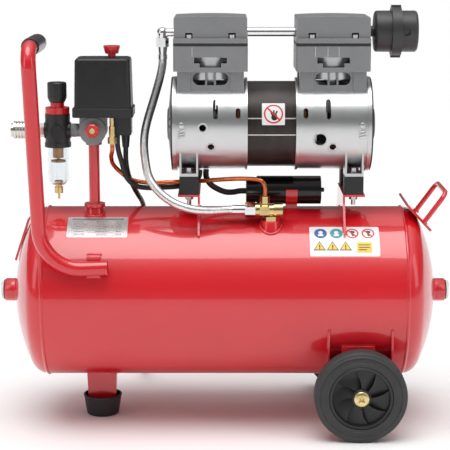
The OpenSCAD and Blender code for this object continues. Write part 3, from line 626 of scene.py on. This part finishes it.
RISER_AT, CHECK_VALVE_AT = (-179, -25), (62, -58)
DRAIN_X, DRAIN_WELD_R = 160, 11.6
sockets = [bung(*RISER_AT, 12.5, 303), bung(*CHECK_VALVE_AT, 13, 290), bung(DRAIN_X, 0, 11, 52, 5.0, -1)]
drain_weld = [(DRAIN_X + DRAIN_WELD_R * math.cos(a), DRAIN_WELD_R * math.sin(a),
               tank_bottom(DRAIN_WELD_R * math.sin(a)))
              for a in (2 * math.pi * k / 48 for k in range(48))]
tank_welds = [weld(ring_on_tank(*RISER_AT, 13.2), 1.9, True),
              weld(ring_on_tank(*CHECK_VALVE_AT, 13.8), 2.1, True),
              weld(drain_weld, 1.6, True)]
make("receiver", *joined(tank, *sockets), "red_paint", replaces=["air_tank"], sharp=50)
make("receiver_welds", *joined(*tank_welds), "red_paint", sharp=60)

plugs, rings = [], []
for s in (-1, 1):
    e = BOSS_END
    head = hexagon(24, e + 0.9, e + 5, "z", (0, 0, 0), 1.2)
    thread = lathe([(0, e - 8), (8.8, e - 8), (8.8, e + 1), (0, e + 1)], seg=48)
    pip = lathe([(0, e + 4.6), (5.4, e + 4.6), (5.4, e + 5.2), (5.0, e + 5.4), (0, e + 5.4)], seg=32)
    seal = lathe(arc(12.6, e + 0.35, 1.7, 0, 330, 11), seg=48)
    for parts, (points, loops) in ((plugs, head), (plugs, thread), (plugs, pip), (rings, seal)):
        parts.append(([(s * z, x, TANK_Z + y * s) for x, y, z in points], loops))
make("end_plug_heads", *joined(*plugs), "nickel", replaces=["end_plugs"], sharp=28)
make("end_plug_seals", *joined(*rings), "black_rubber")


# ---------------------------------------------------------------- labels on the tank

def tank_point(x, angle, lift):
    a = math.radians(angle)
    return (x, -(TANK_R + lift) * math.sin(a), TANK_Z + (TANK_R + lift) * math.cos(a))


def decal(outline, centre, point, radius, lift, thick=0.09):
    """A flat shape of (x, s) pairs laid on a cylinder: x along it, s up round it; a thin closed sheet."""
    cx, angle = centre
    n, rings = len(outline), 4
    mx = sum(p[0] for p in outline) / n
    my = sum(p[1] for p in outline) / n
    verts, faces = [], []
    for up in (lift, lift - thick):
        base = len(verts)
        verts.append(point(cx + mx, angle - math.degrees(my / radius), up))
        for k in range(1, rings + 1):
            for x, s in outline:
                t = k / rings
                turn = angle - math.degrees((my + (s - my) * t) / radius)
                verts.append(point(cx + mx + (x - mx) * t, turn, up))
        for i in range(n):
            j = (i + 1) % n
            faces.append((base, base + 1 + i, base + 1 + j))
            for k in range(rings - 1):
                a, b = base + 1 + k * n, base + 1 + (k + 1) * n
                faces.append((a + i, b + i, b + j, a + j))
    top = 1 + (rings - 1) * n
    low = top + 1 + rings * n
    for i in range(n):
        j = (i + 1) % n
        faces.append((top + i, low + i, low + j, top + j))
    return verts, faces


def dense(outline, step=2.0):
    """The outline with points added so that no side is longer than step."""
    out = []
    for (ax, ay), (bx, by) in zip(outline, outline[1:] + outline[:1]):
        m = max(1, int(math.hypot(bx - ax, by - ay) / step))
        out += [(ax + (bx - ax) * k / m, ay + (by - ay) * k / m) for k in range(m)]
    return out


def disc(r, cx=0.0, cy=0.0, n=28):
    return [(cx + r * math.cos(2 * math.pi * k / n), cy + r * math.sin(2 * math.pi * k / n)) for k in range(n)]


def bar(w, h, cx=0.0, cy=0.0, turn=0.0):
    c, s = math.cos(math.radians(turn)), math.sin(math.radians(turn))
    return dense([(cx + x * c - y * s, cy + x * s + y * c)
                  for x, y in ((-w / 2, -h / 2), (w / 2, -h / 2), (w / 2, h / 2), (-w / 2, h / 2))], 1.5)


def triangle(r, cx=0.0, cy=0.0):
    return dense([(cx + r * math.cos(math.radians(a)), cy + r * math.sin(math.radians(a)) - r * 0.15)
                  for a in (90, 210, 330)], 1.5)


def ring_decal(r_out, r_in, cx, cy, centre, point, radius, lift, thick=0.09, n=36):
    verts, faces = [], []
    x0, angle = centre
    for up in (lift, lift - thick):
        for r in (r_out, r_in):
            for x, s in disc(r, cx, cy, n):
                verts.append(point(x0 + x, angle - math.degrees(s / radius), up))
    for k in range(n):
        j = (k + 1) % n
        a, b, c, d = k, j, n + j, n + k
        faces.append((a, b, c, d))
        faces.append((a + 2 * n, d + 2 * n, c + 2 * n, b + 2 * n))
        faces.append((a, a + 2 * n, b + 2 * n, b))
        faces.append((d, c, c + 2 * n, d + 2 * n))
    return verts, faces


def tank_label(name, finish, items, centre):
    make(name, *joined(*(decal(o, centre, tank_point, TANK_R, lift) for o, lift in items)), finish, sharp=60)


SAFETY = (161.0, 43.0)
tank_label("safety_label", "label_white", [(dense(rounded(94, 49, 2.5)), 0.22)], SAFETY)
blue, yellow, black, white = [], [], [], []
for i, x in enumerate((-32, -10.7)):
    blue.append((disc(8.6, x, 12.2), 0.30))
    white += [(disc(3.0, x, 13.6), 0.36), (bar(7.0, 3.0, x, 9.0), 0.36)]
for x in (10.7, 32):
    black += [(bar(3.0, 9.5, x, 12.2, 14), 0.28), (disc(2.0, x + 1.5, 14.5), 0.28)]
for x in (-34, -16.5, 1):
    black.append((triangle(9.6, x, -9.5), 0.28))
    yellow.append((triangle(7.6, x, -9.5), 0.34))
    black += [(bar(1.5, 4.6, x, -9.4), 0.40), (disc(0.9, x, -13.2), 0.40)]
yellow.append((bar(20, 16, 26, -11), 0.30))
black += [(bar(15, 1.3, 26, -7.2), 0.36), (bar(15, 1.3, 26, -11), 0.36), (bar(11, 1.3, 24, -14.6), 0.36)]
tank_label("safety_label_blue", "ink_blue", blue[:1], SAFETY)
tank_label("safety_label_teal", "ink_teal", blue[1:], SAFETY)
tank_label("safety_label_yellow", "ink_yellow", yellow, SAFETY)
tank_label("safety_label_black", "ink_black", black, SAFETY)
tank_label("safety_label_marks", "label_white", white, SAFETY)
bans = [ring_decal(8.6, 6.6, x, 12.2, SAFETY, tank_point, TANK_R, 0.32) for x in (10.7, 32)]
bans += [decal(bar(2.0, 14.5, x, 12.2, 45), SAFETY, tank_point, TANK_R, 0.34) for x in (10.7, 32)]
make("safety_label_red", *joined(*bans), "ink_red", sharp=60)

RATING = (-173.0, 30.2)
tank_label("rating_label", "label_silver", [(dense(rounded(82, 42, 2.0)), 0.20)], RATING)
lines = [(bar(70, 3.4, 0, 15.5), 0.26)]
for k in range(6):
    y = 9.5 - 5.0 * k
    lines.append((bar(72, 0.35, 0, y + 2.4), 0.25))
    lines += [(bar(13 + 3 * (k % 2), 1.1, -26 + (k % 3), y), 0.25), (bar(17 - 4 * (k % 2), 1.1, 6, y), 0.25),
              (bar(8, 1.1, 29, y), 0.25)]
lines.append((bar(72, 0.35, 0, -17.9), 0.25))
tank_label("rating_label_print", "ink_grey", lines, RATING)


# ---------------------------------------------------------------- stand, foot and wheels

refine("saddles", bevel=0.7)
refine("front_leg", bevel=0.9)
refine("axle_bracket", bevel=0.8)
foot = [(0, 0), (20.6, 0), (22.0, 0.6), (22.6, 2.0), (24.0, 10.5), (24.3, 11.2), (24.2, 12.4), (24.6, 13.2),
        (26.3, 25), (27.0, 26.6), (27.0, 28.4), (26.3, 29), (24.6, 29), (22.0, 13), (0, 13)]
LEG_X = -174
make("rubber_foot", *lathe(foot, "z", (LEG_X, 0, 0), 72), "black_rubber", replaces=["foot_pad"])

seams = []
for side in (-1, 1):
    for x in (160, 163, -34, -37):
        seams.append(weld([on_tank(x, side * y, 0.2) for y in range(10, 74, 4)], 1.1))
    for x in (138.4, 140.6, 223.4, 225.6):
        edge = [(x, side * (0.4 - tank_front(z)), z) for z in (122 + k * 2.6 for k in range(12))]
        seams.append(weld(edge, 1.3))
seams.append(weld([(LEG_X + x, -9.2, tank_bottom(9) - 0.3) for x in range(-21, 22, 3)], 1.5))
make("frame_welds", *joined(*seams), "red_paint", sharp=60)

WHEEL_X, WHEEL_R, WHEEL_Y = 182.0, 62.5, 125.0


def bulge(r, w, out, along, angles):
    """(radius, offset) round part of an ellipse centred on (r, w)."""
    return [(r + out * math.cos(math.radians(a)), w - along * math.sin(math.radians(a))) for a in angles]


def tyre_profile():
    """(radius, offset): round shoulders, two moulded rings on each side, three grooves in the tread."""
    side = [(42.95, -13.2), (43.6, -14.4), (46.0, -14.5)]
    side += bulge(47.5, -14.2, 1.7, 1.0, (180, 135, 90, 45, 0))
    side += [(51, -13.9), (54.2, -13.6)]
    side += bulge(56.0, -13.4, 1.5, 0.9, (180, 120, 60, 0))
    side += [(58.2, -12.9)]
    side += bulge(57.7, -8.7, 4.8, 4.3, (70, 50, 30, 12))
    tread = [(62.5, -8.4), (62.2, -8.0), (61.1, -7.7), (61.1, -6.3), (62.2, -6.0), (62.5, -5.6), (62.5, -1.2),
             (62.2, -0.9), (61.1, -0.6)]
    half = side + tread
    return half + [(r, -w) for r, w in reversed(half)] + [(42.95, 0)]


def wheel(name, side, body, tyre_node, hub_node):
    at = (WHEEL_X, side * WHEEL_Y, WHEEL_R)
    axis = "-y" if side < 0 else "y"
    make(name + "_tyre_form", *lathe(tyre_profile(), axis, at, 120), "tyre_rubber", body,
         replaces=[tyre_node], sharp=44)
    rim = [(38.2, 13.2), (39.0, 14.6), (41.4, 14.9), (42.85, 13.8), (42.85, -13.8), (41.4, -14.6),
           (38.8, -14.4), (38.2, -13), (37.6, -2), (37.6, 9.0)]
    boss = [(6.1, -14.6), (10.2, -14.6), (11, -13.8), (11.6, 8), (12.6, 10.5), (12.6, 13.2), (11.8, 14.4),
            (6.1, 14.4)]
    parts = [lathe(rim, seg=96), lathe(boss, seg=64)]
    blades = 8
    for front, face in ((9.0, 1), (-9.0, -1)):
        for b in range(blades):
            verts, faces, n, m = [], [], 7, 6
            for layer in (0, 1):
                for i in range(n + 1):
                    r = 11.0 + (38.4 - 11.0) * i / n
                    for j in range(m + 1):
                        t = j / m
                        a = 2 * math.pi * (b + t * 0.97) / blades + 0.30 * (i / n) ** 1.4
                        twist = 4.0 * t ** 1.3 - 2.6 - 2.2 * math.sin(math.pi * i / n) * (1 - t)
                        h = front + face * twist if layer == 0 else front - face * 6.5
                        verts.append((r * math.cos(a), r * math.sin(a), h))
            row, size = m + 1, (n + 1) * (m + 1)
            for i in range(n):
                for j in range(m):
                    a = i * row + j
                    faces.append((a, a + 1, a + row + 1, a + row))
                    faces.append((size + a, size + a + row, size + a + row + 1, size + a + 1))
            loop = [i * row for i in range(n + 1)] + [n * row + j for j in range(1, m + 1)]
            loop += [i * row + m for i in range(n - 1, -1, -1)] + [j for j in range(m - 1, 0, -1)]
            for a, c in zip(loop, loop[1:] + loop[:1]):
                faces.append((a, c, size + c, size + a))
            parts.append((verts, faces))
    v, f = joined(*parts)
    make(name + "_hub_form", turned(v, axis, at), f, "black_plastic", body, replaces=[hub_node], sharp=24)


wheel("front", -1, "front_wheel", "front_tyre", "front_hub")
wheel("rear", 1, "rear_wheel", "rear_tyre", "rear_hub")


def phillips_head(r, low, high, seg=64):
    """A domed head with a cross recess: rings of points that sink inside the cross."""
    rings = []
    steps = 22
    for i in range(steps + 1):
        q = r * (1 - i / steps)
        ring = []
        for k in range(seg):
            a = 2 * math.pi * k / seg
            x, y = q * math.cos(a), q * math.sin(a)
            h = low + (high - low) * math.sqrt(max(0.0, 1 - (q / r) ** 2.6))
            u, w = abs((x + y) / math.sqrt(2)), abs((x - y) / math.sqrt(2))
            arm = min(u, w)
            reach = max(u, w)
            if arm < 1.0 and reach < 5.0:
                h -= 2.2 * (1 - (reach / 5.4) ** 2)
            elif arm < 1.5 and reach < 5.5:
                h -= 1.0 * (1 - (reach / 5.9) ** 2)
            ring.append((x, y, h))
        rings.append(ring)
    rings.insert(0, [(x, y, low - 1.2) for x, y, h in rings[0]])
    return loft(rings)


heads, washers = [], []
for side in (-1, 1):
    axis = "-y" if side < 0 else "y"
    at = (WHEEL_X, side * WHEEL_Y, WHEEL_R)
    v, f = phillips_head(10.5, 16.6, 19.4)
    heads.append((turned(v, axis, at), f))
    heads.append(lathe([(0, -31), (6, -31), (6, 17), (0, 17)], axis, at, 32))
    v, f = hexagon(18, -34.2, -24, "z")
    heads.append((turned(v, axis, (at[0], side * 127.8, at[2])), f))
    washers.append(lathe([(6.2, 14.6), (12.4, 14.6), (12.9, 15.1), (12.4, 15.9), (6.2, 15.9)], axis, at, 48))
make("axle_screws", *joined(*heads), "yellow_zinc", replaces=["axle_bolts"], sharp=34)
make("axle_washers", *joined(*washers), "black_plastic")

# ---------------------------------------------------------------- handles

LEAN = math.radians(92.3)


def handle_point(x, y, z):
    """A point of the handle's own plane, set on the receiver: x up, y back and z out past the end."""
    back = math.cos(math.pi - LEAN)
    return (-188.8 - x * back - z * math.sin(LEAN), -117 + y, 235 + x * math.sin(LEAN) - z * back)


path = [(0, 0, -33), (0, 0, -20), (0, 0, -8)]
path += [(55 - 55 * math.cos(t), 0, 55 * math.sin(t)) for t in (math.pi / 2 * k / 24 for k in range(25))]
path += [(55 + 212 * k / 12, 0, 55) for k in range(1, 12)]
path += [(267 + 26 * math.sin(t), 26 - 26 * math.cos(t), 55)
         for t in (math.pi / 2 * k / 18 for k in range(19))]
path += [(293, 26 + 89 * k / 5, 55) for k in range(1, 6)]
handle_path = [handle_point(*p) for p in path]
outer = tube(handle_path, 10, 40, caps=False)
inner = tube(handle_path, 8.4, 40, caps=False)
n_ring = 40
v, f = joined(outer, (inner[0], [face[::-1] for face in inner[1]]))
half, last = len(outer[0]), len(outer[0]) - n_ring
for k in range(n_ring):
    j = (k + 1) % n_ring
    f.append((j, k, half + k, half + j))
    f.append((last + k, last + j, half + last + j, half + last + k))
make("pull_handle_form", v, f, "red_paint", replaces=["pull_handle"], sharp=50)
pad = []
for k in range(9):
    z = 222 + 28 * k / 8
    pad.append((z, tank_front(z)))
rings = [[(x, -112.0, z) for z, _ in pad] + [(x, y + 0.3, z) for z, y in reversed(pad)] for x in (-184, -166)]
make("handle_bracket", *loft(rings), "red_paint", sharp=35, bevel=0.6)
bead = [weld([(x, tank_front(z) - 0.3, z) for x in range(-185, -164, 2)], 1.5) for z in (222, 250)]
make("handle_welds", *joined(*bead), "red_paint", sharp=60)
bar_x, bar_z = handle_path[-1][0], handle_path[-1][2]
grip = [(10.2, -88), (11.4, -88), (12.1, -87), (12.1, -84)]
for k in range(18):
    y = -82 + 4.2 * k
    grip += [(12.1, y), (12.35, y + 0.8), (12.35, y + 2.4), (12.1, y + 3.2)]
grip += [(12.1, -3), (12.0, -1), (11.0, 0.3), (8, 0.6), (0, 0.6), (0, -1.4), (10.2, -1.4)]
make("handle_sleeve", *lathe(grip[::-1], "y", (bar_x, 0, bar_z), 64), "vinyl_grip",
     replaces=["handle_grip"], sharp=50)
refine("carry_handle", bevel=0.5, sharp=38)

# ---------------------------------------------------------------- pump and motor

# Each node with the radius of its rounded edges, where it isn't replaced by a mesh of its own.
for node, radius in (("isolators", 1.2), ("mount_bolts", 0.3), ("pump_housings", 0.5), ("stator", 0.3),
                     ("cylinder_blocks", 0.9), ("valve_plates", 0.4), ("cylinder_sleeves", 0.4)):
    refine(node, bevel=radius)
refine("end_covers", bevel=0.35, sharp=34)
refine("transfer_pipe", bevel=0.3)
refine("capacitor", "gloss_black", bevel=0.8)
for node, radius in (("check_valve", 0.5), ("brass_fittings", 0.4), ("riser_pipe", 0.7), ("manifold", 1.2),
                     ("cable_glands", 0.7), ("regulator_body", 0.8), ("regulator_spindle", 0.5),
                     ("bowl_element", 0.3), ("bowl_drain", 0.5), ("coupler_body", 0.4),
                     ("coupler_sleeve", 0.3), ("drain_cock", 0.4), ("drain_tap", 0.6)):
    refine(node, bevel=radius)
refine("air_filter", "filter_plastic", bevel=0.8)
for node, radius in (("switch_base", 0.9), ("cylinder_heads", 1.0), ("hose_fittings", 0.4),
                     ("regulator_knob", 0.3), ("safety_knob", 0.3), ("switch_button", 0.5),
                     ("cooling_fans", 0.3)):
    refine(node, bevel=radius)

PUMP_X, MOTOR_Z = 63.0, 414.5
STATOR_R = 58.5
HOUSING_R = 62.0


def on_motor(radius):
    """Places points round the motor's shaft, by x, by degrees from the top towards -Y, and by lift."""
    def point(x, angle, lift):
        a = math.radians(angle)
        return (x, -(radius + lift) * math.sin(a), MOTOR_Z + (radius + lift) * math.cos(a))
    return point


stator_at, housing_at = on_motor(STATOR_R), on_motor(HOUSING_R)
stripes = [decal(bar(64.6, 1.5), (PUMP_X, angle), stator_at, STATOR_R, 0.35, 1.2) for angle in (76.5, 98.3)]
make("stator_lines", *joined(*stripes), "bright_line", sharp=60)
STICKER = (65.0, 70.5)
make("stator_sticker", *decal(dense(rounded(30.8, 29.9, 0.8)), STICKER, stator_at, STATOR_R, 0.75, 0.3),
     "label_white", sharp=60)
make("stator_sticker_red", *joined(ring_decal(12.9, 10.9, 0, 0, STICKER, stator_at, STATOR_R, 0.86),
                                   decal(bar(23.0, 2.1, 0, 0, -45), STICKER, stator_at, STATOR_R, 0.9)),
     "ink_red", sharp=60)
hand = (disc(4.2, 1.2, -4.6), bar(2.2, 7.5, 3.4, 0.6, -24), bar(2.0, 7.0, 0.6, 1.4, 4),
        bar(1.8, 5.6, -2.2, -0.4, 24))
make("stator_sticker_black", *joined(*(decal(o, STICKER, stator_at, STATOR_R, 0.82) for o in hand)),
     "ink_black", sharp=60)


def raised_ring(x, angle, radius, width=1.3, high=0.8):
    """The rolled rim of a punched hole, laid round the housing."""
    verts, faces, n, m = [], [], 40, 8
    for i in range(n):
        t = 2 * math.pi * i / n
        for k in range(m):
            b = 2 * math.pi * k / m
            r = radius + width * (1 + math.cos(b))
            turn = angle - math.degrees(r * math.sin(t) / HOUSING_R)
            verts.append(housing_at(x + r * math.cos(t), turn, high * math.sin(b)))
    for i in range(n):
        for k in range(m):
            j, q = (i + 1) % n, (k + 1) % m
            faces.append((i * m + k, j * m + k, j * m + q, i * m + q))
    return verts, faces


def angle_at(z):
    """Where height z lies round the housing, in degrees from the top."""
    return math.degrees(math.acos((z - MOTOR_Z) / HOUSING_R))


rims = [raised_ring(PUMP_X - 82, angle_at(389.5), 4.2), raised_ring(PUMP_X + 82, angle_at(389.5), 4.2),
        raised_ring(PUMP_X + 65, angle_at(400), 7.8, 1.0)]
make("housing_rims", *joined(*rims), "alloy", sharp=60)
clips = []
screw = [(0, 61.5), (4.3, 61.5), (4.3, 64.3), (3.6, 65.3), (1.2, 65.7), (0, 65.7)]
for side in (-1, 1):
    x = PUMP_X + side * 121.5
    clips.append(lathe(screw, "-y", (x, 0, 419), 24))
    for k in (-1, 0, 1):
        z = 415.7 - 4.2 * k
        rib = [(x - 4.5, -64.4, z - 9.5), (x, -66.0, z - 8.3), (x + 4.5, -64.4, z - 7.1)]
        clips.append(tube(rib, 0.9, 10))
make("housing_clips", *joined(*clips), "zinc_steel", sharp=40)
strips = [loft([[(x, -48.35, z), (x + 0.9, -48.35, z), (x + 0.9, -47.8, z), (x, -47.8, z)]
                for z in (510, 522.8)])
          for x in (-44.5, 120.5, 137.2, 152.0)]
make("block_lines", *joined(*strips), "zinc_steel", sharp=30)

# ---------------------------------------------------------------- lines and hoses

HOSE_ROUTE = [(-85.5, 0, 503), (-85.5, 0, 500), (-85.5, 0, 497), (-87.2, -2, 486), (-91.8, -6, 468),
              (-98, -12, 447), (-105, -20, 424), (-109, -28, 406), (-110, -36, 388), (-108, -44, 369),
              (-104, -52, 351), (-95, -60, 336), (-81, -67, 323), (-63, -72.5, 313), (-42, -73, 307),
              (-24, -68.5, 304.6), (-10, -63, 304), (-1, -59.4, 304), (5, -58, 304), (7.5, -58, 304),
              (10, -58, 304)]
TUBE_ROUTE = [(54, -58, 323), (54, -58, 335), (50, -57, 343), (40, -52, 345), (20, -41, 344),
              (-5, -29, 341), (-30, -21.5, 338), (-50, -20, 337), (-75, -18, 335.5), (-100, -15, 334),
              (-128, -14.5, 338), (-144, -18, 350), (-153, -27, 362), (-154.5, -40, 374),
              (-152.5, -49, 383), (-152, -51, 388), (-152, -51, 390.5), (-152, -51, 393)]
MOTOR_ROUTE = [(-146, -34, 404), (-146, -32, 386), (-141, -28, 364), (-134.5, -25, 343),
               (-122, -21.5, 331), (-104, -17, 327.5), (-86, -13.5, 327.5), (-62, -12, 329),
               (-45, -12, 333), (-36, -12, 342), (-34.5, -12, 352)]
CAPACITOR_ROUTE = [(-26, -8, 352), (-26, -8, 342), (-21, -7, 332), (-12, -5, 325), (0, -2, 319.5),
                   (11, 1, 318.5), (19, 2.7, 319.7), (25, 3, 320), (27, 3, 320), (29, 3, 320)]
BRAID_STEP = 0.55
hose_path = resample(smooth(HOSE_ROUTE, 8), BRAID_STEP)


def braid(i, a):
    """Height of crossed steel wires, three to a strand, over the hose."""
    s = i * BRAID_STEP
    p = 12 * a / (2 * math.pi) + s / 4.4
    q = 12 * a / (2 * math.pi) - s / 4.4
    over = math.sin(math.pi * (p + q)) * math.sin(math.pi * (p - q)) > 0
    return 0.16 * abs(math.sin(math.pi * 3 * (p if over else q))) + (0.05 if over else 0)


make("braided_hose_form", *tube(hose_path, 5.5, 72, shape=braid), "steel_braid",
     replaces=["braided_hose"], sharp=70)
make("unloader_tube_form", *tube(smooth(TUBE_ROUTE, 8), 3, 20), "copper_pipe", replaces=["unloader_tube"])
make("motor_cable_form", *joined(tube(smooth(MOTOR_ROUTE, 8), 3.5, 18),
                                 tube(smooth(CAPACITOR_ROUTE, 8), 4, 18)),
     "cable_jacket", replaces=["motor_cable"])

# ---------------------------------------------------------------- switch

COVER_X, COVER_Y, COVER_W, COVER_D = -164.5, -25, 77, 59
# height, inset in x and in y, and corner radius
sections = [(441.15, 0, 0, 6), (442.0, 0, 0, 6), (447, 0.3, 0.4, 6), (503, 1.5, 1.9, 6), (505.4, 2.0, 2.4, 6),
            (506.9, 3.2, 3.6, 6), (507.6, 5.0, 5.4, 5.5), (507.8, 7.5, 8, 5)]
rings = []
for z, dx, dy, r in sections:
    w, d = COVER_W - 2 * dx, COVER_D - 2 * dy
    rings.append([(COVER_X + x, COVER_Y + y, z) for x, y in rounded(w, d, r, 8)])
make("switch_cover_form", *loft(rings), "black_plastic", replaces=["switch_cover"], sharp=40)
refine("filter_bowl", bevel=0.3)

# CAD nodes seen only through openings keep their shape and take a finish.
for piece, finish in (("windings", "copper_wire"), ("bearings", "zinc_steel"), ("motor_rotor", "zinc_steel"),
                      ("eccentrics", "zinc_steel"), ("piston_left", "alloy"), ("piston_right", "alloy"),
                      ("head_bolts", "zinc_steel")):
    mesh = nodes[piece].data
    mesh.materials.clear()
    mesh.materials.append(M[finish])

# ---------------------------------------------------------------- stage and light


def floor_material():
    made, tree, shader, place = node_kit("studio_floor")
    paper = mixed(tree, noise(tree, place, 1.5, 3), (0.90, 0.90, 0.90), (0.93, 0.93, 0.93))
    tree.links.new(paper, shader.inputs["Base Color"])
    shader.inputs["Roughness"].default_value = 0.75
    shader.inputs["Specular IOR Level"].default_value = 0.2
    return made


mesh = bpy.data.meshes.new("floor")
mesh.from_pydata([(-40, -40, 0), (40, -40, 0), (40, 40, 0), (-40, 40, 0)], [], [(0, 1, 2, 3)])
mesh.materials.append(floor_material())
floor = bpy.data.objects.new("floor", mesh)
bpy.context.scene.collection.objects.link(floor)
floor.location.z = -0.0002


def softbox(name, at, target, size_x, size_y, power):
    data = bpy.data.lights.new(name, "AREA")
    data.shape = "RECTANGLE"
    data.size, data.size_y, data.energy = size_x, size_y, power
    lamp = bpy.data.objects.new(name, data)
    lamp.location = at
    lamp.rotation_euler = (Vector(target) - Vector(at)).to_track_quat("-Z", "Y").to_euler()
    bpy.context.scene.collection.objects.link(lamp)


softbox("left_box", (-2.0, -1.3, 1.3), (0, 0, 0.3), 0.9, 1.6, 7)
softbox("right_box", (2.0, -1.1, 1.3), (0, 0, 0.3), 0.9, 1.6, 7)
sun = bpy.data.lights.new("overhead_panel", "SUN")
sun.energy, sun.angle = 1.75, math.radians(46)
lamp = bpy.data.objects.new("overhead_panel", sun)
lamp.rotation_euler = (math.radians(12), math.radians(-4), 0)
bpy.context.scene.collection.objects.link(lamp)

world = bpy.data.worlds.new("studio")
bpy.context.scene.world = world
world.use_nodes = True
tree = world.node_tree
background = tree.nodes["Background"]
split = tree.nodes.new("ShaderNodeSeparateXYZ")
tree.links.new(tree.nodes.new("ShaderNodeTexCoord").outputs["Generated"], split.inputs[0])
sky = tree.nodes.new("ShaderNodeValToRGB")
for place, level in ((0.0, 0.20), (0.3, 0.14), (0.6, 0.30), (0.82, 0.85), (1.0, 1.25)):
    stop = sky.color_ramp.elements[0] if place == 0 else (
        sky.color_ramp.elements[-1] if place == 1 else sky.color_ramp.elements.new(place))
    stop.position = place
    stop.color = (level, level, level, 1)
tree.links.new(split.outputs["Z"], sky.inputs["Fac"])
tree.links.new(sky.outputs["Color"], background.inputs["Color"])
background.inputs["Strength"].default_value = 1.0
bpy.context.scene.view_settings.view_transform = "Standard"
bpy.context.scene.view_settings.look = "None"
